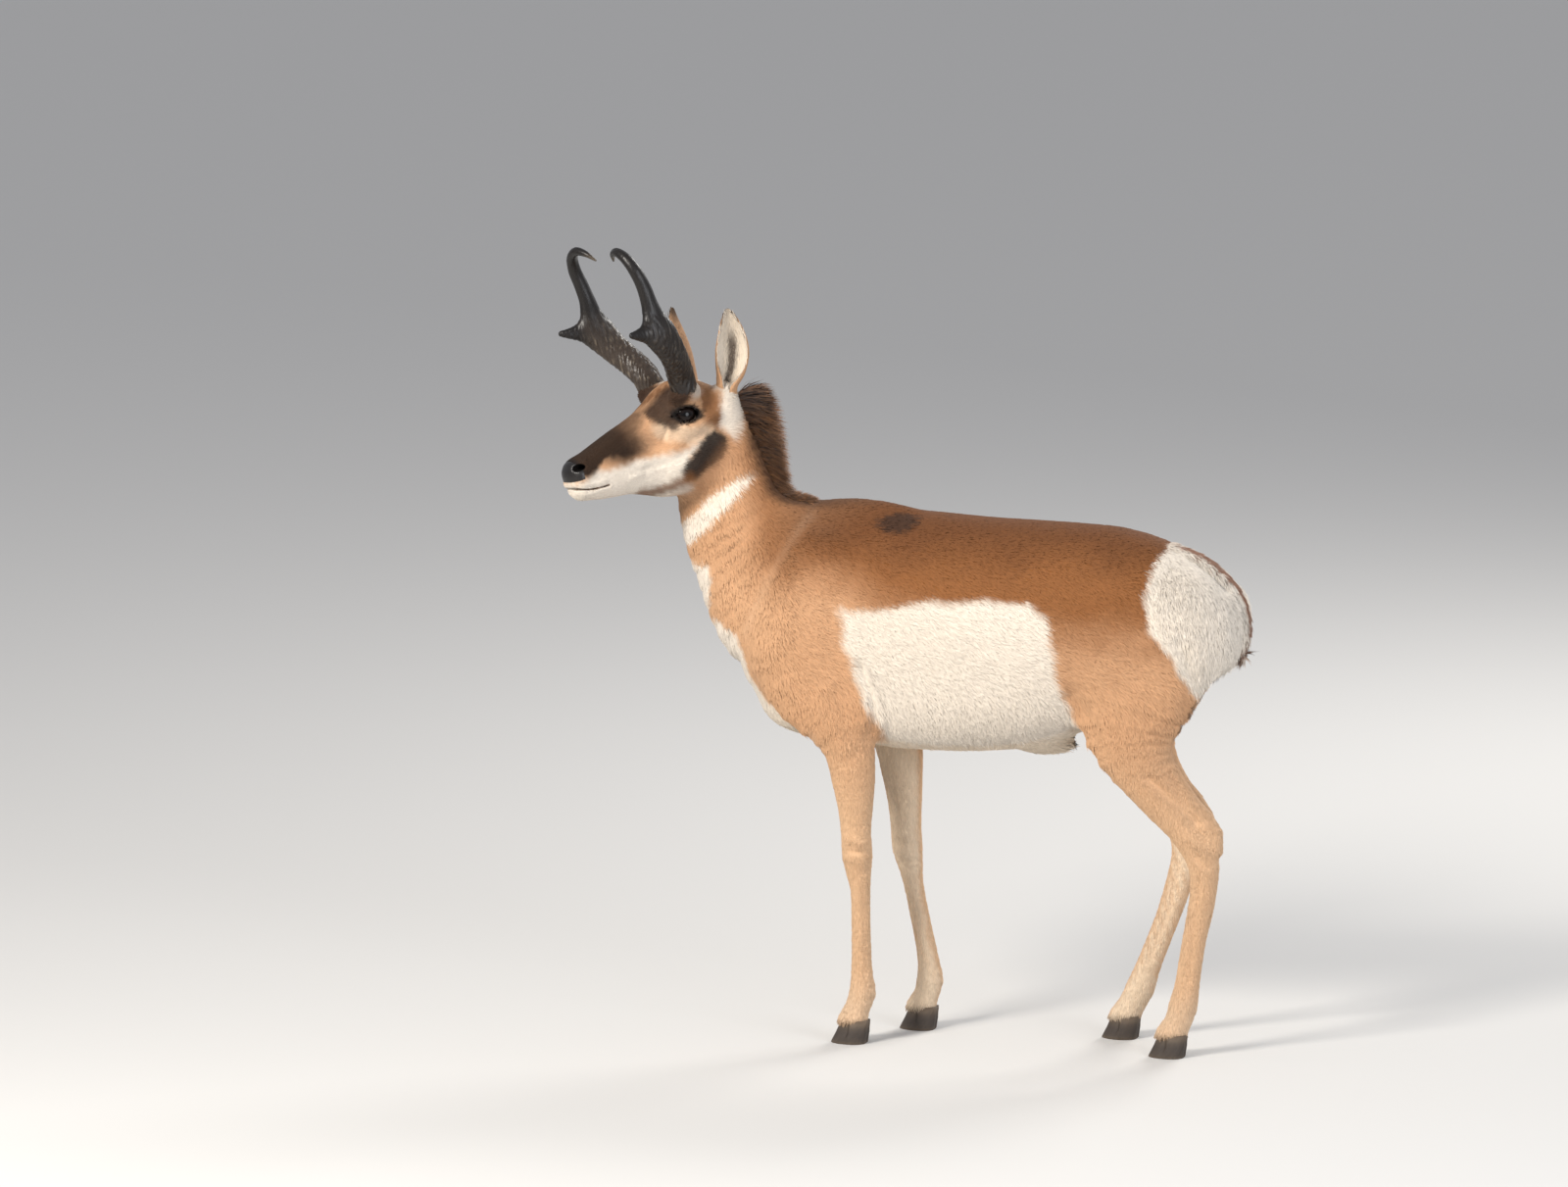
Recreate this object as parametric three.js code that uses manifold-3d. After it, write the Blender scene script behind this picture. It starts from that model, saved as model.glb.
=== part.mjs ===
// A life-size standing pronghorn buck, with its head turned to its left.
// Millimetres, +Z up. The animal faces -X and its left side is at -Y.
// The flesh is one smooth field, made from lofts, limbs and ellipsoids that blend into each other.
// Each named part is a stretch of that field between thin cuts, with its own grid size.
import * as THREE from "three";
import { mergeVertices } from "three/addons/utils/BufferGeometryUtils.js";
import Module from "manifold-3d";

const wasm = await Module();
wasm.setup();

// Driving dimensions
const GAP = 0.3; // between two parts that touch
const CUT_SIZE = 2400; // side of the boxes that part the body
const CELL_MARGIN = 0.06; // keeps each point of a grid's surface inside its own cell
const FAR = 90; // past this distance a form no longer matters to its neighbours
const ORIGIN = new THREE.Vector3(34, 40, 0); // moves the origin to the floor under the middle of the whole
const HEAD_YAW = THREE.MathUtils.degToRad(48); // to the animal's left
const HEAD_PITCH = THREE.MathUtils.degToRad(15); // nose down
const HEAD_ROLL = THREE.MathUtils.degToRad(7); // left side up
const HEAD_AT = [-425.9, -46, 1035.1]; // midway between the eyes
const EYE = { at: [4.5, 34.5, 0], radius: 22, facing: [0.24, 0.96, 0.1], wide: 23, high: 12.5 };
const LID = { thick: 3.2, sides: 5, around: 16, proud: 3.6, tilt: 0.33, lower: 0.92, flare: 1.5 };
const LID_BOW = 0.6; // how far the lids follow the ball of the eye towards their corners
const SOCKET_BOW = 0.78; // the same for the floor of the corners
const HOOF_TOP = 33; // where each claw ends and the hair begins
const HOOF = { long: 60, wide: 26, cleft: 2.4, lean: 16, heelLean: 4 };

// Trunk, from the chest to the rump: height of the back and belly, and half the width
const TORSO = [
  { at: -318, top: 786, bottom: 650, wide: 58 },
  { at: -285, top: 846, bottom: 580, wide: 82 },
  { at: -240, top: 876, bottom: 529, wide: 101 },
  { at: -180, top: 885, bottom: 500, wide: 112 },
  { at: -100, top: 886, bottom: 489, wide: 123 },
  { at: 0, top: 880, bottom: 484, wide: 135 },
  { at: 100, top: 874, bottom: 487, wide: 141 },
  { at: 180, top: 872, bottom: 497, wide: 138 },
  { at: 250, top: 870, bottom: 520, wide: 130 },
  { at: 320, top: 865, bottom: 562, wide: 122 },
  { at: 390, top: 847, bottom: 602, wide: 112 },
  { at: 450, top: 818, bottom: 622, wide: 96 },
  { at: 496, top: 774, bottom: 640, wide: 70 },
];
const TORSO_ROUND = 2.25; // exponent of the trunk's section
const TORSO_WAIST = 0.5; // height of the widest level, as a share of the depth
const TORSO_END = 34; // how far the trunk is rounded out past its first and last station

// Limbs run through stations: centre, half depth fore and aft, and half width
const NECK = [
  { at: [-213, 0, 707], deep: 145, wide: 92 },
  { at: [-276, 0, 766], deep: 118, wide: 78 },
  { at: [-318, 0, 822], deep: 100, wide: 66 },
  { at: [-342, 0, 876], deep: 88, wide: 57 },
  { at: [-354, 0, 928], deep: 79, wide: 52 },
  { at: [-360, 3, 972], deep: 68, wide: 48 },
  { at: [-366, 6, 1010], deep: 54, wide: 44 },
];
const FORE_LEFT = [
  { at: [-148, -72, 812], deep: 60, wide: 30 },
  { at: [-188, -78, 735], deep: 84, wide: 40 },
  { at: [-196, -80, 655], deep: 92, wide: 44 },
  { at: [-165, -80, 590], deep: 86, wide: 42 },
  { at: [-132, -80, 535], deep: 60, wide: 37 },
  { at: [-119, -79, 488], deep: 43, wide: 31 },
  { at: [-113, -78, 440], deep: 37, wide: 27 },
  { at: [-110, -77, 395], deep: 30, wide: 24 },
  { at: [-109, -76, 350], deep: 25.5, wide: 22 },
  { at: [-107, -76, 315], deep: 26, wide: 22.5 },
  { at: [-105, -75, 288], deep: 22, wide: 19 },
  { at: [-102, -75, 258], deep: 17.5, wide: 15.5 },
  { at: [-101, -75, 210], deep: 16.5, wide: 14 },
  { at: [-100, -75, 155], deep: 17, wide: 14 },
  { at: [-99, -75, 112], deep: 19, wide: 16 },
  { at: [-98, -75, 86], deep: 22.5, wide: 19 },
  { at: [-106, -75, 60], deep: 21.5, wide: 19.5 },
  { at: [-114, -75, 38], deep: 25, wide: 23 },
  { at: [-118, -75, 22], deep: 27, wide: 26 },
];
const FORE_RIGHT = [
  { at: [-140, 72, 812], deep: 60, wide: 30 },
  { at: [-172, 78, 735], deep: 84, wide: 40 },
  { at: [-172, 80, 655], deep: 92, wide: 44 },
  { at: [-132, 80, 590], deep: 86, wide: 42 },
  { at: [-92, 80, 535], deep: 60, wide: 37 },
  { at: [-76, 79, 486], deep: 43, wide: 31 },
  { at: [-69, 78, 436], deep: 36, wide: 27 },
  { at: [-64, 77, 388], deep: 30, wide: 24 },
  { at: [-61, 76, 336], deep: 26, wide: 22 },
  { at: [-59, 76, 305], deep: 26, wide: 22.5 },
  { at: [-54, 75, 278], deep: 22, wide: 19 },
  { at: [-49, 75, 248], deep: 17.5, wide: 15.5 },
  { at: [-40, 75, 202], deep: 16.5, wide: 14 },
  { at: [-29, 75, 150], deep: 17, wide: 14 },
  { at: [-22, 75, 110], deep: 19, wide: 16 },
  { at: [-20, 75, 84], deep: 22.5, wide: 19 },
  { at: [-26, 75, 58], deep: 21.5, wide: 19.5 },
  { at: [-34, 75, 38], deep: 25, wide: 23 },
  { at: [-38, 75, 22], deep: 27, wide: 26 },
];
const HIND_LEFT = [
  { at: [372, -64, 752], deep: 96, wide: 46 },
  { at: [368, -70, 690], deep: 118, wide: 52 },
  { at: [362, -74, 625], deep: 114, wide: 50 },
  { at: [353, -77, 565], deep: 90, wide: 44 },
  { at: [362, -79, 512], deep: 66, wide: 38 },
  { at: [386, -80, 468], deep: 50, wide: 32 },
  { at: [417, -80, 425], deep: 40, wide: 26 },
  { at: [447, -80, 391], deep: 35, wide: 23 },
  { at: [470, -79, 357], deep: 33, wide: 22 },
  { at: [480, -79, 322], deep: 27, wide: 20 },
  { at: [480, -78, 288], deep: 23.5, wide: 17.5 },
  { at: [474, -77, 246], deep: 22, wide: 15.5 },
  { at: [465, -76, 204], deep: 20.5, wide: 14.5 },
  { at: [457, -75, 157], deep: 20.5, wide: 14.5 },
  { at: [451, -75, 116], deep: 21.5, wide: 16 },
  { at: [445, -75, 86], deep: 24.5, wide: 19 },
  { at: [436, -75, 58], deep: 23, wide: 19.5 },
  { at: [426, -75, 38], deep: 26, wide: 23 },
  { at: [420, -75, 22], deep: 27, wide: 26 },
];
const HIND_RIGHT = [
  { at: [362, 64, 752], deep: 96, wide: 46 },
  { at: [352, 70, 690], deep: 118, wide: 52 },
  { at: [340, 74, 625], deep: 114, wide: 50 },
  { at: [326, 77, 565], deep: 90, wide: 44 },
  { at: [331, 79, 512], deep: 66, wide: 38 },
  { at: [349, 80, 468], deep: 50, wide: 32 },
  { at: [374, 80, 425], deep: 40, wide: 26 },
  { at: [398, 80, 391], deep: 35, wide: 23 },
  { at: [414, 79, 357], deep: 33, wide: 22 },
  { at: [416, 79, 320], deep: 27, wide: 20 },
  { at: [409, 78, 288], deep: 23.5, wide: 17.5 },
  { at: [397, 77, 246], deep: 22, wide: 15.5 },
  { at: [383, 76, 204], deep: 20.5, wide: 14.5 },
  { at: [365, 75, 157], deep: 20.5, wide: 14.5 },
  { at: [349, 75, 116], deep: 21.5, wide: 16 },
  { at: [338, 75, 86], deep: 24.5, wide: 19 },
  { at: [324, 75, 58], deep: 23, wide: 19.5 },
  { at: [313, 75, 38], deep: 26, wide: 23 },
  { at: [306, 75, 22], deep: 27, wide: 26 },
];
// The tendon from the calf to the point of the hock, and the elbow, set out from their leg
const HEEL_STRING = [
  { at: [422, -80, 476], deep: 15, wide: 13 },
  { at: [460, -80, 428], deep: 12, wide: 10 },
  { at: [497, -80, 378], deep: 15, wide: 12 },
  { at: [498, -80, 352], deep: 15, wide: 12 },
];
const HEEL_STRING_RIGHT_SHIFT = [-53, 160, 0];
const ELBOW = { at: [-93, -84, 565], radii: [34, 26, 40] };
const ELBOW_RIGHT_SHIFT = [36, 168, 0];

// Head in its own frame: forward to the nose, then the top, the bottom and half the width
const HEAD = [
  { at: -98, top: -8, bottom: -74, wide: 40 },
  { at: -80, top: 16, bottom: -104, wide: 51 },
  { at: -50, top: 41, bottom: -122, wide: 55 },
  { at: -15, top: 53, bottom: -131, wide: 54 },
  { at: 20, top: 48, bottom: -133, wide: 49 },
  { at: 48, top: 35, bottom: -129, wide: 44 },
  { at: 70, top: 26, bottom: -122, wide: 39 },
  { at: 95, top: 20, bottom: -110, wide: 35 },
  { at: 126, top: 14, bottom: -97, wide: 32 },
  { at: 160, top: 6, bottom: -90, wide: 30 },
  { at: 192, top: -2, bottom: -82, wide: 29 },
  { at: 214, top: -10, bottom: -71, wide: 26 },
];
const HEAD_ROUND = 2.35;
const HEAD_WAIST = 0.52;
const HEAD_END = 15;

// Tail core and the horn, the horn in the head's frame on the left side
const TAIL = [
  { at: [404, 0, 832], deep: 14, wide: 20 },
  { at: [446, 0, 816], deep: 16, wide: 24 },
  { at: [488, 0, 788], deep: 16, wide: 26 },
  { at: [518, 0, 748], deep: 15, wide: 25 },
  { at: [529, 0, 704], deep: 13, wide: 21 },
  { at: [526, 0, 668], deep: 9, wide: 14 },
];
const HORN = [
  { at: [-3, 50, 40], deep: 23, wide: 18 },
  { at: [0, 56, 64], deep: 24, wide: 17.5 },
  { at: [10, 74, 94], deep: 24, wide: 16 },
  { at: [24, 90, 124], deep: 26, wide: 14 },
  { at: [36, 97, 152], deep: 28.5, wide: 13 },
  { at: [41, 98, 180], deep: 21, wide: 12 },
  { at: [41, 97, 208], deep: 14.5, wide: 11 },
  { at: [43, 98, 238], deep: 12.5, wide: 10 },
  { at: [48, 96, 266], deep: 11, wide: 9.5 },
  { at: [52, 84, 290], deep: 9.5, wide: 8.5 },
  { at: [53, 64, 301], deep: 7.5, wide: 7.2 },
  { at: [49, 42, 295], deep: 5, wide: 4.8 },
  { at: [43, 28, 282], deep: 1.6, wide: 1.6 },
];
const PRONG = [
  { at: [38, 97, 156], deep: 24, wide: 10.5 },
  { at: [62, 101, 163], deep: 17, wide: 9 },
  { at: [84, 106, 168], deep: 9.5, wide: 6 },
  { at: [100, 111, 173], deep: 4.5, wide: 3 },
];

// Ear in the head's frame on the left side: an outer form, and the cup cut from its open face
const EAR = [
  { at: [-78, 44, -2], deep: 17, wide: 13 },
  { at: [-82, 52, 20], deep: 18, wide: 13 },
  { at: [-91, 62, 44], deep: 25, wide: 14 },
  { at: [-99, 71, 74], deep: 28, wide: 14 },
  { at: [-103, 78, 104], deep: 22, wide: 11 },
  { at: [-104, 83, 130], deep: 12, wide: 6 },
  { at: [-104, 86, 146], deep: 3, wide: 1.8 },
];
const EAR_SIDE = [0.55, 0.83, 0]; // the way that the open face looks
const RIGHT_EAR_FORWARD = 12; // the right ear arches forward by this, behind its horn
const EAR_CUP = { from: 1, shift: 7.5, rim: 3.2, wall: 1.5 };

// Nostril and mouth in the head's frame
const NOSTRIL = [
  { at: [219, 27, -17], deep: 9, wide: 5 },
  { at: [209, 17, -21], deep: 7.5, wide: 4.2 },
  { at: [198, 12, -24], deep: 4, wide: 3 },
];
const MOUTH = [
  { at: [244, -40], open: 2.6 },
  { at: [218, -54.5], open: 2.6 },
  { at: [198, -60], open: 2.2 },
  { at: [172, -63], open: 1 },
];
const MOUTH_DEPTH = 7;

// Vector and table helpers
const add = (a, b) => a.map((v, i) => v + b[i]);
const sub = (a, b) => a.map((v, i) => v - b[i]);
const scale = (a, s) => a.map((v) => v * s);
const dot = (a, b) => a[0] * b[0] + a[1] * b[1] + a[2] * b[2];
const cross = (a, b) => [
  a[1] * b[2] - a[2] * b[1],
  a[2] * b[0] - a[0] * b[2],
  a[0] * b[1] - a[1] * b[0],
];
const unit = (a) => scale(a, 1 / Math.hypot(...a));
const mix = (a, b, t) => a + (b - a) * t;
const clamp = (v, lo, hi) => Math.min(hi, Math.max(lo, v));

// A smooth curve through values at rising knots
function smoothThrough(knots, values) {
  const last = knots.length - 1;
  const slope = (i) => (values[i + 1] - values[i]) / (knots[i + 1] - knots[i]);
  const tangents = values.map((_, i) => {
    if (i === 0) return slope(0);
    if (i === last) return slope(last - 1);
    const before = knots[i] - knots[i - 1];
    const after = knots[i + 1] - knots[i];
    return (after * slope(i - 1) + before * slope(i)) / (before + after);
  });
  return (x) => {
    const at = clamp(x, knots[0], knots[last]);
    let i = 0;
    while (i < last - 1 && at > knots[i + 1]) i++;
    const span = knots[i + 1] - knots[i];
    const t = (at - knots[i]) / span;
    const t2 = t * t;
    const t3 = t2 * t;
    return (
      (2 * t3 - 3 * t2 + 1) * values[i] +
      (t3 - 2 * t2 + t) * span * tangents[i] +
      (3 * t2 - 2 * t3) * values[i + 1] +
      (t3 - t2) * span * tangents[i + 1]
    );
  };
}

// Stations of a limb, with more between them: [centre, deep, wide]
function refine(stations, steps = 3) {
  const knots = [0];
  for (let i = 1; i < stations.length; i++)
    knots.push(knots[i - 1] + Math.hypot(...sub(stations[i].at, stations[i - 1].at)));
  const column = (pick) => smoothThrough(knots, stations.map(pick));
  const curves = [0, 1, 2].map((axis) => column((s) => s.at[axis]));
  const deep = column((s) => s.deep);
  const wide = column((s) => s.wide);
  const made = [];
  for (let i = 0; i < knots.length - 1; i++)
    for (let k = 0; k < steps; k++) {
      const t = mix(knots[i], knots[i + 1], k / steps);
      made.push({ at: curves.map((c) => c(t)), deep: deep(t), wide: wide(t) });
    }
  return [...made, stations[stations.length - 1]];
}

// How far a point is from a stretched round section, along the line from its centre
function reachOf(a, b, c, ra, rb, rc, round) {
  const sum =
    Math.pow(Math.abs(a) / ra, round) +
    Math.pow(Math.abs(b) / rb, round) +
    Math.pow(Math.abs(c) / rc, round);
  const level = Math.pow(sum, 1 / round);
  return level < 1e-6 ? -Math.min(ra, rb, rc) : Math.hypot(a, b, c) * (1 - 1 / level);
}

// How far a point is outside a box
function beyond(p, low, high) {
  const out = (axis) => Math.max(low[axis] - p[axis], 0, p[axis] - high[axis]);
  return Math.hypot(out(0), out(1), out(2));
}

// Fields: negative inside, positive outside, in millimetres
function limbField(stations, side = [0, 1, 0]) {
  const line = refine(stations);
  const sizeOf = (s) => Math.max(s.deep, s.wide);
  const low = [0, 1, 2].map((axis) => Math.min(...line.map((s) => s.at[axis] - sizeOf(s))));
  const high = [0, 1, 2].map((axis) => Math.max(...line.map((s) => s.at[axis] + sizeOf(s))));
  const segments = line.slice(1).map((end, i) => {
    const start = line[i];
    const along = sub(end.at, start.at);
    const tangent = unit(along);
    const lateral = unit(sub(side, scale(tangent, dot(side, tangent))));
    const reach = Math.hypot(...along) / 2 + Math.max(sizeOf(start), sizeOf(end));
    const middle = scale(add(start.at, end.at), 0.5);
    const square = dot(along, along);
    const deepWay = cross(tangent, lateral);
    return { start, end, along, square, tangent, lateral, deepWay, reach, middle };
  });
  return (p) => {
    const far = beyond(p, low, high);
    if (far > FAR) return far;
    let least = Infinity;
    for (const s of segments) {
      const m = s.middle;
      if (Math.hypot(p[0] - m[0], p[1] - m[1], p[2] - m[2]) - s.reach > least) continue;
      const from = [p[0] - s.start.at[0], p[1] - s.start.at[1], p[2] - s.start.at[2]];
      const t = clamp(dot(from, s.along) / s.square, 0, 1);
      const q = [from[0] - s.along[0] * t, from[1] - s.along[1] * t, from[2] - s.along[2] * t];
      const deep = mix(s.start.deep, s.end.deep, t);
      const wide = mix(s.start.wide, s.end.wide, t);
      const ends = Math.min(deep, wide);
      const reach = reachOf(dot(q, s.deepWay), dot(q, s.lateral), dot(q, s.tangent), deep, wide, ends, 2);
      least = Math.min(least, reach);
    }
    return least;
  };
}

function loftField(stations, round, waist, cap) {
  const knots = stations.map((s) => s.at);
  const column = (key) => smoothThrough(knots, stations.map((s) => s[key]));
  const [top, bottom, wide] = ["top", "bottom", "wide"].map(column);
  const widest = Math.max(...stations.map((s) => s.wide));
  const low = [knots[0], -widest, Math.min(...stations.map((s) => s.bottom))];
  const high = [knots[knots.length - 1], widest, Math.max(...stations.map((s) => s.top))];
  return (p) => {
    const far = beyond(p, low, high);
    if (far > FAR) return far;
    const [x, y, z] = p;
    const past = x - clamp(x, knots[0], knots[knots.length - 1]);
    const back = top(x);
    const belly = bottom(x);
    const middle = mix(belly, back, waist);
    const rise = z > middle ? back - middle : middle - belly;
    return reachOf(y, z - middle, past, wide(x), rise, cap, round);
  };
}

function ellipsoidField(at, radii) {
  return (p) => reachOf(p[0] - at[0], p[1] - at[1], p[2] - at[2], ...radii, 2);
}

const blendOf = (a, b, soft) => {
  const near = Math.max(soft - Math.abs(a - b), 0) / soft;
  return (near * near * soft) / 4;
};
const blend = (a, b, soft) => (p) => {
  const fa = a(p);
  const fb = b(p);
  return Math.min(fa, fb) - blendOf(fa, fb, soft);
};
const carve = (a, b, soft) => (p) => {
  const fa = a(p);
  const fb = -b(p);
  return Math.max(fa, fb) + blendOf(fa, fb, soft);
};
const blendAll = (first, rest) => rest.reduce((f, [g, soft]) => blend(f, g, soft), first);

// The head's own frame
const HEAD_FORWARD = [
  -Math.cos(HEAD_YAW) * Math.cos(HEAD_PITCH),
  -Math.sin(HEAD_YAW) * Math.cos(HEAD_PITCH),
  -Math.sin(HEAD_PITCH),
];
const levelLeft = [Math.sin(HEAD_YAW), -Math.cos(HEAD_YAW), 0];
const levelUp = cross(HEAD_FORWARD, levelLeft);
const HEAD_LEFT = add(scale(levelLeft, Math.cos(HEAD_ROLL)), scale(levelUp, Math.sin(HEAD_ROLL)));
const HEAD_UP = cross(HEAD_FORWARD, HEAD_LEFT);
const toHead = (p) => {
  const q = sub(p, HEAD_AT);
  return [dot(q, HEAD_FORWARD), dot(q, HEAD_LEFT), dot(q, HEAD_UP)];
};
const headTurn = ([f, l, u]) =>
  add(add(scale(HEAD_FORWARD, f), scale(HEAD_LEFT, l)), scale(HEAD_UP, u));
const fromHead = (q) => add(HEAD_AT, headTurn(q));
const shifted = (stations, by) => stations.map((s) => ({ ...s, at: add(s.at, by) }));

// A shape given on the head's left side, on both sides
const bothSides = (field) => (p) => field([p[0], Math.abs(p[1]), p[2]]);

function headField() {
  const skull = loftField(HEAD, HEAD_ROUND, HEAD_WAIST, HEAD_END);
  const muzzle = ellipsoidField([207, 0, -30], [22, 28, 23]);
  const lips = ellipsoidField([205, 0, -62], [19, 20, 14]);
  const orbit = bothSides(ellipsoidField([3, 35, 4], [31, 22, 25]));
  const cheek = bothSides(ellipsoidField([12, 30, -78], [52, 22, 46]));
  const hornBase = bothSides(ellipsoidField([-2, 48, 34], [29, 20, 21]));
  const earBase = bothSides(ellipsoidField([-76, 44, 0], [22, 20, 28]));
  const cheekBone = bothSides(
    limbField([
      { at: [40, 33, -24], deep: 10, wide: 12 },
      { at: [0, 46, -22], deep: 10, wide: 12 },
      { at: [-45, 50, -16], deep: 10, wide: 10 },
    ]),
  );
  const hollow = bothSides(ellipsoidField([92, 50, -26], [46, 18, 22]));
  const flesh = blendAll(skull, [
    [muzzle, 16],
    [lips, 12],
    [cheek, 26],
    [orbit, 20],
    [cheekBone, 16],
    [hornBase, 16],
    [earBase, 18],
  ]);
  const shaped = carve(flesh, hollow, 18);
  return (p) => shaped(toHead(p));
}

function bodyField() {
  const torso = loftField(TORSO, TORSO_ROUND, TORSO_WAIST, TORSO_END);
  const rump = bothSides(ellipsoidField([452, 52, 706], [66, 52, 92]));
  const withers = ellipsoidField([-125, 0, 846], [105, 30, 42]);
  const brisket = ellipsoidField([-224, 0, 560], [64, 54, 52]);
  const sheath = ellipsoidField([196, 0, 503], [46, 22, 20]);
  const heel = limbField(HEEL_STRING);
  const heelRight = limbField(shifted(HEEL_STRING, HEEL_STRING_RIGHT_SHIFT));
  const elbow = ellipsoidField(ELBOW.at, ELBOW.radii);
  const elbowRight = ellipsoidField(add(ELBOW.at, ELBOW_RIGHT_SHIFT), ELBOW.radii);
  const foreLeft = blend(limbField(FORE_LEFT), elbow, 24);
  const foreRight = blend(limbField(FORE_RIGHT), elbowRight, 24);
  const hindLeft = blend(limbField(HIND_LEFT), heel, 14);
  const hindRight = blend(limbField(HIND_RIGHT), heelRight, 14);
  return blendAll(torso, [
    [withers, 40],
    [rump, 46],
    [brisket, 40],
    [limbField(NECK), 60],
    [foreLeft, 26],
    [foreRight, 26],
    [hindLeft, 34],
    [hindRight, 34],
    [sheath, 24],
    [headField(), 34],
  ]);
}

// Solids
function solidOf(geometry) {
  const bare = new THREE.BufferGeometry();
  bare.setAttribute("position", geometry.getAttribute("position"));
  if (geometry.index) bare.setIndex(geometry.index);
  const merged = mergeVertices(bare, 1e-4);
  return new wasm.Manifold(
    new wasm.Mesh({
      numProp: 3,
      vertProperties: new Float32Array(merged.getAttribute("position").array),
      triVerts: new Uint32Array(merged.index.array),
    }),
  );
}

function geometryOf(solid) {
  const mesh = solid.getMesh();
  const geometry = new THREE.BufferGeometry();
  geometry.setAttribute("position", new THREE.BufferAttribute(mesh.vertProperties, 3));
  geometry.setIndex(new THREE.BufferAttribute(mesh.triVerts, 1));
  return geometry;
}

function largestOf(solid) {
  return solid.decompose().reduce((a, b) => (b.volume() > a.volume() ? b : a));
}

// A grid cell's twelve edges, by the axis they run along and their offsets on the next two axes
const CELL_EDGES = [0, 1, 2].flatMap((axis) =>
  [0, 1].flatMap((b) =>
    [0, 1].map((c) => {
      const start = [0, 0, 0];
      start[(axis + 1) % 3] = b;
      start[(axis + 2) % 3] = c;
      const end = [...start];
      end[axis] = 1;
      return { start, end };
    }),
  ),
);
const edgeNumber = (axis, b, c) => axis * 4 + b * 2 + c;

// Joins the edges that one sheet of the surface crosses in a cell, and gives each edge its sheet
function sheetsOf(isIn) {
  const crossed = CELL_EDGES.map(({ start, end }) => isIn(start) !== isIn(end));
  const sheet = crossed.map((_, n) => n);
  const join = (a, b) => {
    const [from, to] = [sheet[a], sheet[b]];
    sheet.forEach((v, n) => {
      if (v === from) sheet[n] = to;
    });
  };
  for (let n = 0; n < 3; n++)
    for (const level of [0, 1]) {
      const [u, v] = [(n + 1) % 3, (n + 2) % 3];
      const alongU = (q) => edgeNumber(u, q, level);
      const alongV = (p) => edgeNumber(v, level, p);
      const met = [alongU(0), alongU(1), alongV(0), alongV(1)].filter((e) => crossed[e]);
      if (met.length === 2) join(met[0], met[1]);
      if (met.length < 4) continue;
      for (const p of [0, 1])
        for (const q of [0, 1]) {
          const corner = [0, 0, 0];
          [corner[n], corner[u], corner[v]] = [level, p, q];
          if (isIn(corner)) join(alongU(q), alongV(p));
        }
    }
  return sheet.map((v, n) => (crossed[n] ? v : -1));
}

// The surface of a field inside a box: one point for each sheet in each cell, joined by quads
function surfaceOf(field, low, high, cell) {
  const counts = cell.map((c, i) => Math.ceil((high[i] - low[i]) / c) + 1);
  const place = (at) => at.map((v, n) => low[n] + v * cell[n]);
  const index = (at) => (at[2] * counts[1] + at[1]) * counts[0] + at[0];
  const values = new Float64Array(counts[0] * counts[1] * counts[2]);
  const everyPoint = (less, visit) => {
    for (let k = 0; k < counts[2] - less; k++)
      for (let j = 0; j < counts[1] - less; j++)
        for (let i = 0; i < counts[0] - less; i++) visit([i, j, k]);
  };
  everyPoint(0, (at) => {
    const rim = at.some((v, n) => v === 0 || v === counts[n] - 1);
    const value = field(place(at));
    values[index(at)] = rim ? Math.max(value, 1) : value;
  });
  const positions = [];
  const pointOf = new Int32Array(values.length * CELL_EDGES.length).fill(-1);
  everyPoint(1, (at) => {
    const held = (corner) => values[index(add(at, corner))];
    const inside = CELL_EDGES.filter(({ start }) => held(start) < 0).length;
    const outside = CELL_EDGES.filter(({ end }) => held(end) >= 0).length;
    if (inside === 0 && outside === CELL_EDGES.length) return;
    const sheets = sheetsOf((corner) => held(corner) < 0);
    for (const sheet of new Set(sheets.filter((v) => v >= 0))) {
      const members = CELL_EDGES.map((_, n) => n).filter((n) => sheets[n] === sheet);
      const crossings = members.map((n) => {
        const { start, end } = CELL_EDGES[n];
        const t = held(start) / (held(start) - held(end));
        return start.map((v, axis) => mix(v, end[axis], t));
      });
      const middle = scale(crossings.reduce(add), 1 / crossings.length);
      const settled = settle(field, place(add(at, middle)), Math.min(...cell) * 0.45);
      for (const n of members)
        pointOf[index(at) * CELL_EDGES.length + n] = positions.length / 3;
      const corner = place(at);
      for (let n = 0; n < 3; n++) {
        const margin = cell[n] * CELL_MARGIN;
        positions.push(clamp(settled[n], corner[n] + margin, corner[n] + cell[n] - margin));
      }
    }
  });
  const triangles = [];
  const quad = (ring) => {
    const at = ring.map((v) => positions.slice(v * 3, v * 3 + 3));
    const [p, q, r, s] = ring;
    const first = Math.hypot(...sub(at[0], at[2]));
    const second = Math.hypot(...sub(at[1], at[3]));
    if (first < second) triangles.push(p, q, r, p, r, s);
    else triangles.push(p, q, s, q, r, s);
  };
  const around = [[1, 1], [0, 1], [0, 0], [1, 0]];
  everyPoint(1, (at) => {
    const here = values[index(at)] < 0;
    for (let axis = 0; axis < 3; axis++) {
      const next = [...at];
      next[axis] += 1;
      if (here === values[index(next)] < 0) continue;
      const ring = around.map(([b, c]) => {
        const owner = [...at];
        owner[(axis + 1) % 3] -= b;
        owner[(axis + 2) % 3] -= c;
        return pointOf[index(owner) * CELL_EDGES.length + edgeNumber(axis, b, c)];
      });
      quad(here ? ring : ring.reverse());
    }
  });
  const geometry = new THREE.BufferGeometry();
  geometry.setAttribute("position", new THREE.BufferAttribute(new Float32Array(positions), 3));
  geometry.setIndex(triangles);
  return geometry;
}

const slopeOf = (field, p, step = 0.5) =>
  [0, 1, 2].map((axis) => {
    const by = [0, 0, 0];
    by[axis] = step;
    return (field(add(p, by)) - field(sub(p, by))) / (2 * step);
  });

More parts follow.
